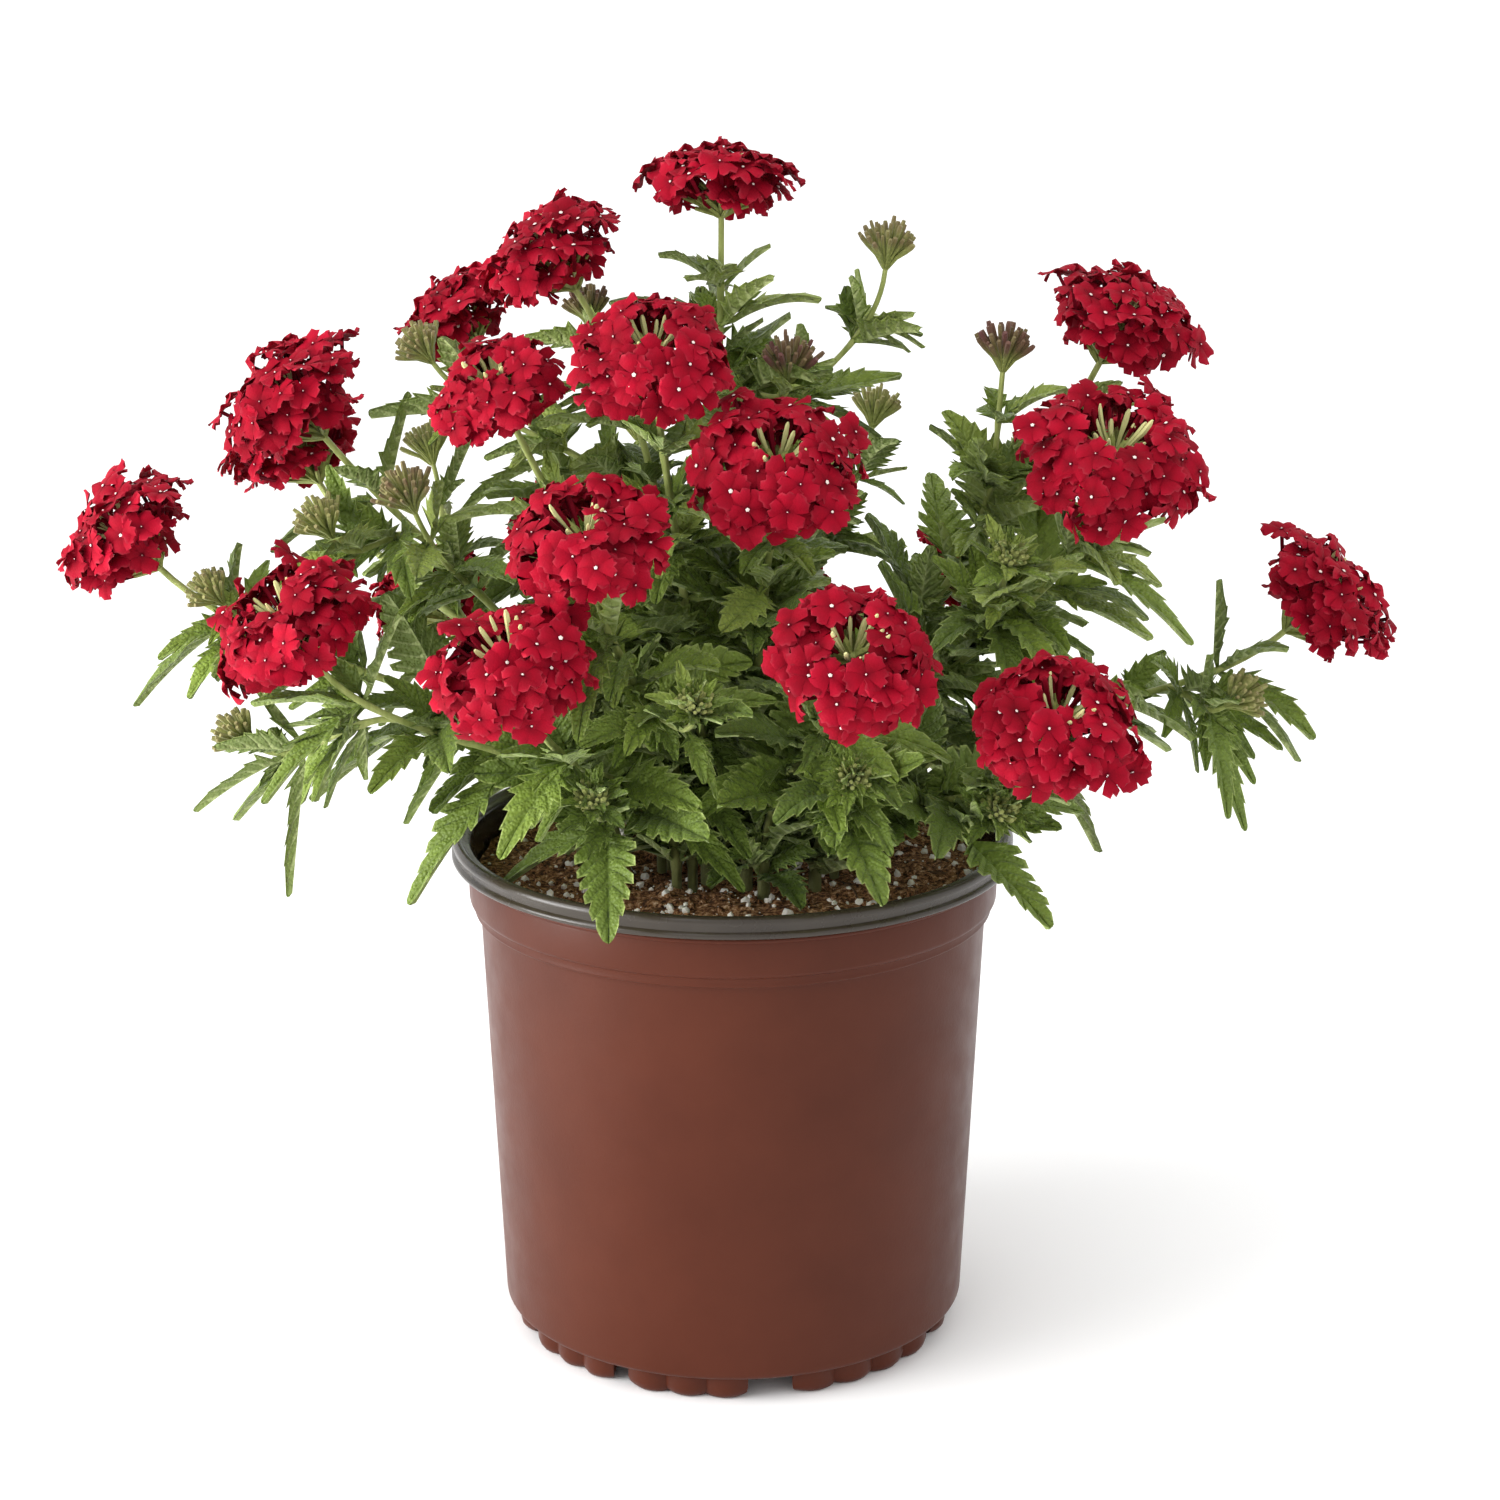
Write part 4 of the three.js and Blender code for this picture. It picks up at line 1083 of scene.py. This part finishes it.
def leaf_tip(leaf):
    return leaf.root + leaf.heading * leaf.length - UP * leaf.length * leaf.droop


def packed_leaves(course, corners):
    """The leaves that the frame has on a course: those whose tip is a corner of its node."""
    found = []
    for ring, side in product(course.rings, range(2)):
        for attempt in range(LEAF_TRIES):
            leaf = leaf_pose(course, ring, side, attempt)
            if corners.find(leaf_tip(leaf) * MM)[2] < TIP_NEAR * MM:
                found.append(leaf)
                break
    return found


def envelope(share):
    """Half the width of a blade through the tips of its teeth."""
    return float(np.interp(share, BLADE_SHARES, BLADE_WIDTHS))


def blade(teeth, columns, rounded=False):
    """The grid of a blade as shares of its length and half width, whose rows follow its veins."""
    pitch = (TEETH_END - TEETH_START) / teeth
    rows = [(-0.02, -0.02, envelope(0), 0), (0.08, 0.09, envelope(0.09), 0)]
    for k in range(teeth):
        notch = TEETH_START + pitch * k
        lag = VEIN_LAG * min(1, envelope(notch) * 1.3)
        edges = [(0, between(NOTCH, k / (teeth - 1)), 0), (0.6, 0.96, 0), (1 + TOOTH_LEAN, 1, 1)]
        if not rounded:
            del edges[1]
        for step, (part, width, vein) in enumerate(edges):
            share = notch + part * pitch
            middle = notch + pitch * step / len(edges) - lag
            rows.append((middle, share, width * envelope(share), vein))
    rows += [(0.975, 0.985, envelope(0.98), 0), (1.0, 1.0, envelope(1), 0)]
    out = np.linspace(1, 0, columns + 1)
    out = np.concatenate([out, -out[-2::-1]])
    reach = np.abs(out)
    middle, edge, width, vein = (np.array(values)[:, None] for values in zip(*rows))
    share = middle + (edge - middle) * reach**1.2
    bulge = 4 * reach * (1 - reach) + 0.35 * reach
    lift = QUILT * np.where(vein > 0, -0.6, 1.0) * bulge * np.clip(width * 2, 0, 1)
    lift = lift - RIB_GROOVE * np.exp(-((reach / 0.2) ** 2))
    rib = np.exp(-((reach / 0.15) ** 2))
    return SimpleNamespace(
        rows=len(rows),
        columns=len(out),
        share=share,
        side=width * out,
        lift=lift,
        thick=BLADE_THICK + RIB_THICK * rib,
        vein=np.maximum(vein * np.ones_like(reach), (reach == 0) * 1.0),
        border=np.ones_like(share) * reach * (width > 0.2),
    )


# Finer grids for longer leaves: the shortest leaf of each grid, in the order of the lengths
BLADES = [(36, blade(7, 4, rounded=True)), (24, blade(6, 3)), (0, blade(4, 2))]


def blade_points(leaves, shape):
    """Closed blades for a batch of leaves."""

    def each(key):
        values = np.array([getattr(leaf, key) for leaf in leaves], float)
        return values.reshape(len(leaves), 1, 1, -1)

    values = (shape.share, shape.side, shape.lift, shape.thick)
    share, side, lift, thick = (value[None, ..., None] for value in values)
    root, heading, across = each("root"), each("heading"), each("across")
    length, half, droop = each("length"), each("half"), each("droop")
    along = unit(heading - UP * 2 * droop * share)
    above = unit(np.cross(along, across))
    scale = np.clip(half / 9, 0.3, 1)
    wave = np.sin(each("wave") + 11 * share + 2 * np.sign(side)) * np.abs(side) ** 1.5
    top = root + heading * length * share - UP * length * droop * share**2
    top = top + across * (half * side + each("bend") * length * share**2)
    top = top + above * (half * (LEAF_FOLD * np.abs(side) + EDGE_WAVE * wave) + lift * scale)
    return sheet_points(top, top - above * thick * scale)


def add_leaves(form, leaves):
    """Adds the blades of leaves."""
    longest = math.inf
    for shortest, shape in BLADES:
        own = [leaf for leaf in leaves if shortest <= leaf.length < longest]
        longest = shortest
        if not own:
            continue
        vein, border = (value[None, ..., None] for value in (shape.vein, shape.border))
        form.add(
            blade_points(own, shape),
            sheet_faces(shape.rows, shape.columns),
            vein=sheet_points(vein, vein)[..., 0],
            border=sheet_points(border, border)[..., 0],
            under=sheet_points(0 * vein, 0 * vein + 1)[..., 0],
            tint=np.array([leaf.tint for leaf in own])[:, None],
        )


def dressed(leaf):
    """Adds what the looks need to a leaf: its colour, with painted shade near the soil, and how it
    bends and waves.
    """
    leaf.bend = draw(LEAF_BEND)
    leaf.wave = draw((0, 6))
    low = max(0, 1 - (leaf.root[2] - SOIL_TOP) / LOW_LEAVES)
    # Leaves near the soil get painted shade
    leaf.tint = draw(LEAF_TINT) * (1 - LOW_SHADE * low)
    return leaf


def loose_leaf(ring, out, length, turns, pitches):
    """A leaf that stands out of a section, between limits to its turn and its pitch."""
    heading = heading_out(ring, out, draw(turns), draw(pitches))
    level_across = unit(np.cross(ring.along * LEAF_ALONG + UP * draw(LEAF_UPRIGHT), heading))
    roll = math.radians(draw(LEAF_ROLL))
    rolled = level_across * math.cos(roll) + np.cross(heading, level_across) * math.sin(roll)
    return SimpleNamespace(
        root=ring.point + out * ring.half * 0.6,
        heading=heading,
        across=rolled,
        length=length,
        half=length * draw(LEAF_SLIM),
        droop=draw(LEAF_SAG),
    )


def is_free(leaf, obstacles):
    """Whether a leaf clears the obstacles from a little way out of its stem."""
    corners = []
    for share, width in TRIED:
        spine = leaf.root + leaf.heading * leaf.length * share
        spine = spine - UP * leaf.length * leaf.droop * share**2
        corners += [Vector(spine + leaf.across * leaf.half * w) * MM for w in (width, -width)]
    patch = BVHTree.FromPolygons(corners, [(0, 1, 3, 2), (2, 3, 5, 4)])
    return not obstacles.overlap(patch)


def hides_soil(leaf):
    tip = leaf_tip(leaf)
    return tip[1] < OPEN_FRONT and tip[2] < OPEN_HEIGHT


def fill_in(course, obstacles):
    """Leaves besides the frame's own: pairs between its pairs, and sprigs in all the axils."""
    found = []

    def place(ring, out, lengths, turns, pitches):
        for _ in range(TRIES):
            length = between(lengths, draw((0, 1)) ** MOSTLY_SHORT)
            leaf = loose_leaf(ring, out, length, turns, pitches)
            if not hides_soil(leaf) and is_free(leaf, obstacles):
                found.append(dressed(leaf))
                return

    between_rings = rings_between(course)
    for ring, lengths in between_rings:
        for out in (ring.out, -ring.out):
            place(ring, out, lengths, PAIR_TURN, PAIR_PITCH)
    for ring in course.rings + [ring for ring, _ in between_rings]:
        sides = [ring.over, -ring.over]
        if course.name not in SPARSE_STEMS:
            sides += [ring.side, -ring.side]
        for out in sides:
            place(ring, out, SPRIG_LENGTH, SPRIG_TURN, SPRIG_PITCH)
    return found


# ---- flower heads


def placed(centre, axis, local):
    """Points or directions given round an upright axis, turned to stand round another one."""
    around = np.cross(UP, axis)
    sine = np.linalg.norm(around)
    around = around / sine if sine > 1e-9 else np.array([1.0, 0, 0])
    cosine = axis[2]
    turned_points = local * cosine + np.cross(around, local) * sine
    turned_points = turned_points + around * (local @ around)[..., None] * (1 - cosine)
    return centre + turned_points


def floret_spots(flower, habit):
    """Places and directions of a head's florets round its upright axis, by a golden spiral."""
    count = round(FLORETS * habit.full * (flower.wide / USUAL_HEAD) ** 1.3)
    low, high = np.cos(np.radians(habit.angles))
    share = (np.arange(count) + 0.5) / count
    tilt = np.degrees(np.arccos(low + (high - low) * share)) + draw(FLORET_TILT, count)
    ball = facing(GOLDEN_TURN * np.arange(count) + draw(FLORET_TURN, count), tilt)
    size = np.array([flower.wide, flower.wide, flower.deep]) / 2
    out = habit.out - FLORET_SINK * draw((0, 1), count, 1) ** 2
    out = out + FLORET_STRAY * draw((0, 1), count, 1) ** 4
    normal = unit(ball / size) + habit.lean * UP + FLORET_LOOSE * rng.normal(size=(count, 3))
    place = ball * size * out
    low = habit.cone * np.clip((tilt - CONE_FROM) / (habit.angles[1] - CONE_FROM), 0, 1)
    place[:, :2] *= 1 - CONE_IN * low[:, None]
    place[:, 2] -= CONE_DOWN * low * flower.deep
    return place, unit(normal), share


def petals(place, normal, bend):
    """The five petals of each floret, as closed sheets, and how far out their points are."""
    count = len(place)
    rows, columns = len(PETAL_ROWS), len(PETAL_SIDES)
    r = np.array(PETAL_ROWS)[:, None]
    s = np.array(PETAL_SIDES)[None]
    size = (count, 5, 1, 1)
    length, half = draw(PETAL_LENGTH, *size), draw(PETAL_HALF, *size)
    notch = draw(PETAL_NOTCH, *size)
    y = length * r * (1 - 0.2 * r**2 * s**2 - notch * np.exp(-((s / 0.3) ** 2)) * r**4)
    x = half * np.array(PETAL_WIDTHS)[:, None] * s
    curl = draw(bend, *size) * length
    ruffle = PETAL_RUFFLE * np.sin(2.4 * s + draw((0, 6), *size))
    z = 0.35 * (r > 0.1) - curl * r**2 + (ruffle - PETAL_DOME * s**2) * r**2 + 0.3 * s * r
    spin = 72 * np.arange(5)[None, :, None, None] + draw((0, 72), count, 1, 1, 1)
    spin = np.radians(spin + draw(PETAL_TURN, *size))
    side, over = crosswise(normal)
    axes = [value[:, None, None, None] for value in (side, over, normal)]
    u, v = x * np.cos(spin) - y * np.sin(spin), x * np.sin(spin) + y * np.cos(spin)
    top = place[:, None, None, None] + sum(a * b[..., None] for a, b in zip(axes, (u, v, z)))
    top = top.reshape(count * 5, rows, columns, 3)
    thickness = np.repeat(normal, 5, axis=0) * PETAL_THICK
    under = top[:, 1:3, columns // 2].mean(axis=1) - thickness
    points = np.concatenate([top.reshape(count * 5, -1, 3), under[:, None]], axis=1)
    reach = np.append(np.broadcast_to(r, (rows, columns)).ravel(), 0.5)
    return points, fan_faces(rows, columns), reach


def make_head(name, course):
    """A flower head: florets on red tubes, green calyces, and buds in its well."""
    flower = HEADS[name]
    habit = YOUNG_HABIT if name in YOUNG_HEADS else OPEN_HABIT
    place, normal, share = floret_spots(flower, habit)
    place, normal = placed(course.centre, course.axis, place), placed(0, course.axis, normal)
    florets = Form()
    points, faces, reach = petals(place, normal, habit.curl)
    tint = np.repeat(draw((0, 1), len(place)), 5)[:, None]
    florets.add(points, faces, reach=reach, tint=tint)

    height = between(habit.feet, share)[:, None] * flower.deep * 0.5
    foot = course.centre + course.axis * height
    outward = unit(place - foot)
    controls = bow(foot + outward * 0.7, outward, place, normal)
    red = bezier(controls, TUBE_SHARES)
    red[:, -1] += normal * 0.25
    # The tubes take the dark end of the petals' colour, as painted shade in the well
    florets.add(round_bars(red, TUBE_RADII, 3), bar_faces(3, 3), reach=0.04, tint=0.5)
    add_eyes(florets, place, normal)
    points, faces, near = well_buds(flower, course, RED_BUDS)
    florets.add(points, faces, reach=0.1 * near, tint=0.5)
    florets.piece("florets_" + name, "petals", [PETAL, EYE], "head_" + name)

    green = Form()
    sleeves = round_bars(bezier(controls, CALYX_SHARES), (0.45, habit.calyx, 0.6), 4)
    green.add(sleeves, bar_faces(3, 4), purple=0.0)
    points, faces, near = well_buds(flower, course, GREEN_BUDS)
    green.add(points, faces, cream=0.25 + 0.75 * near)
    green.piece("calyces_" + name, "foliage", [BUD])


def add_eyes(form, place, normal):
    """The pale eye in the middle of each floret, a flat cone."""
    side, over = (value[:, None] for value in crosswise(normal))
    angle = 2 * math.pi * np.arange(EYE_SIDES)[:, None] / EYE_SIDES
    radius = between(EYE_RADIUS, draw((0, 1), len(place), 1, 1) ** 2)
    ring = place[:, None] + 0.4 * normal[:, None]
    ring = ring + radius * (side * np.cos(angle) + over * np.sin(angle))
    ends = place[:, None] + normal[:, None] * np.array([0.1, 0.7])[:, None]
    form.add(np.concatenate([ring, ends], axis=1), bar_faces(1, EYE_SIDES), 1)


def clubs(controls, scale, outline):
    """Club-shaped buds along a batch of curves, with how near each point is to its tip."""
    radii = scale[:, None] * np.array(outline) * BUD_RADIUS
    points = round_bars(bezier(controls, BUD_SHARES), radii, BUD_SIDES)
    near = np.concatenate([np.repeat(BUD_SHARES, BUD_SIDES), [0, 1]])
    return points, bar_faces(len(BUD_SHARES), BUD_SIDES), near


def well_buds(flower, course, buds):
    """Unopened buds that spread like spokes from the middle of a flower head."""
    out = buds.spread * flower.wide / USUAL_HEAD * draw(BUD_REACH, buds.count)
    spot = polar(GOLDEN_TURN * np.arange(buds.count), out)
    ends = spot + UP * (flower.deep * draw(buds.tips, buds.count))[:, None]
    feet = spot * 0.15 + UP * flower.deep * 0.02
    feet, ends = (placed(course.centre, course.axis, points) for points in (feet, ends))
    controls = bow(feet, unit(ends - feet), ends, unit(course.axis + 0.8 * unit(ends - feet)))
    return clubs(controls, draw(buds.size, buds.count), POINTED)


def add_tuft(form, course):
    """A tuft of closed buds at a shoot's end, which fan out from its neck."""
    share = (np.arange(TUFT_BUDS) + 0.5) / TUFT_BUDS
    tilt = TUFT_SPREAD * np.sqrt(share) + draw((-5, 5), TUFT_BUDS)
    ball = facing(GOLDEN_TURN * np.arange(TUFT_BUDS), tilt)
    reach = course.tuft * (1 if course.dusk else ROSETTE_TUFT)
    neck = -TUFT_NECK * course.tuft * UP
    tips = ball * reach * np.array([1, 1, 0.85]) * draw(TUFT_REACH, TUFT_BUDS, 1)
    tips = tips + neck * (1 - reach / course.tuft)
    feet = neck + (tips - neck) * 0.08
    feet, tips = placed(course.centre, course.axis, feet), placed(course.centre, course.axis, tips)
    outward = unit(tips - course.centre + course.axis * course.tuft)
    controls = bow(feet, unit(course.axis + 0.8 * outward), tips, outward)
    points, faces, near = clubs(controls, draw(TUFT_BUD, TUFT_BUDS), BLUNT)
    tips = np.clip((near - 0.85 + 0.35 * course.dusk) / 0.25, 0, 1)
    purple = (0.5 + 0.5 * course.dusk) * (course.dusk > 0) * tips * draw((0.6, 1), TUFT_BUDS, 1)
    form.add(points, faces, purple=purple, cream=0.12 * (1 - course.dusk) * near)


def young_leaves(course):
    """The small leaves that crowd round a rosette's tuft."""
    neck = course.centre - TUFT_NECK * course.tuft * course.axis
    found = []
    for i in range(YOUNG_LEAVES):
        share = i / YOUNG_LEAVES
        round_axis = facing(GOLDEN_TURN * i, between(YOUNG_LEAF_TILT, share))
        heading = placed(0, course.axis, round_axis)
        length = between(YOUNG_LEAF, share) * draw((0.8, 1.2))
        leaf = SimpleNamespace(
            root=neck + course.axis * course.tuft * 0.7 * (1 - share),
            heading=heading,
            across=unit(np.cross(course.axis + 0.3 * rng.normal(size=3), heading)),
            length=length,
            half=length * draw(LEAF_SLIM),
            droop=draw(YOUNG_LEAF_DROOP),
        )
        found.append(dressed(leaf))
    return found


# ---- the plant


def node_tree(names):
    """A search tree of the faces of frame nodes."""
    points, faces = [], []
    for name in names:
        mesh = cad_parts[name].data
        start = len(points)
        points += [vertex.co for vertex in mesh.vertices]
        faces += [[start + corner for corner in face.vertices] for face in mesh.polygons]
    return BVHTree.FromPolygons(points, faces)


def node_corners(name):
    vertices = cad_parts[name].data.vertices
    corners = KDTree(len(vertices))
    for i, vertex in enumerate(vertices):
        corners.insert(vertex.co, i)
    corners.balance()
    return corners


def make_plant():
    stems = {name: stem_course(name, i) for i, name in enumerate(HEADS)}
    shoots = [shoot_course(side_shoot, i, stems) for i, side_shoot in enumerate(SHOOTS)]
    obstacles = node_tree([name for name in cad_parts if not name.startswith("stem_")])
    for name, stem in stems.items():
        own = [stem] + [course for course in shoots if course.name == name]
        corners = node_corners("stem_" + name)
        stalks, blades, tufts = Form(), Form(), Form()
        for course in own:
            make_stalk(stalks, course)
            leaves = [dressed(leaf) for leaf in packed_leaves(course, corners)]
            leaves += fill_in(course, obstacles)
            if course is not stem and not course.dusk:
                leaves += young_leaves(course)
            add_leaves(blades, leaves)
        stalks.piece("stalks_" + name, "foliage", [STALK], "stem_" + name)
        blades.piece("leaves_" + name, "foliage", [BLADE])
        for course in own[1:]:
            add_tuft(tufts, course)
        if len(own) > 1:
            tufts.piece("tufts_" + name, "foliage", [BUD])
        make_head(name, stem)


# ---- studio


def make_floor():
    mesh = bpy.data.meshes.new("floor")
    corners = [(x * FLOOR, y * FLOOR, 0) for x, y in ((-1, -1), (1, -1), (1, 1), (-1, 1))]
    mesh.from_pydata(corners, [], [(0, 1, 2, 3)])
    grey = (0.97, 0.97, 0.97, 1)
    finish = Finish("floor", Roughness=0.9, Base_Color=grey, Specular_IOR_Level=0.1)
    mesh.materials.append(finish.material)
    floor = in_scene("floor", mesh)


def add_lamp(name, kind, place, power):
    """A lamp at a place, turned to the middle of the plant."""
    light = bpy.data.lights.new(name, kind)
    light.energy = power
    lamp = in_scene(name, light)
    lamp.location = place
    lamp.rotation_euler = (Vector(AIM) - Vector(place)).to_track_quat("-Z", "Y").to_euler()
    return light


def make_studio():
    scene = bpy.context.scene
    scene.view_settings.view_transform = "Standard"
    scene.world = bpy.data.worlds.new("studio")
    scene.world.use_nodes = True
    white = scene.world.node_tree.nodes["Background"].inputs
    white["Color"].default_value = (1, 1, 1, 1)
    white["Strength"].default_value = WORLD_LIGHT
    add_lamp("sun", "SUN", SUN_PLACE, SUN_LIGHT).angle = math.radians(SUN_ANGLE)
    for name, (place, size, power) in LAMPS.items():
        add_lamp(name, "AREA", place, power).size = size
    camera = in_scene("camera", bpy.data.cameras.new("camera"))
    camera.location = CAMERA_PLACE
    camera.rotation_euler = (math.radians(90 - CAMERA_DOWN), 0, 0)
    camera.data.lens = CAMERA_LENS
    camera.data.sensor_width = CAMERA_SENSOR
    scene.camera = camera


make_pot()
make_soil()
make_plant()
make_floor()
make_studio()
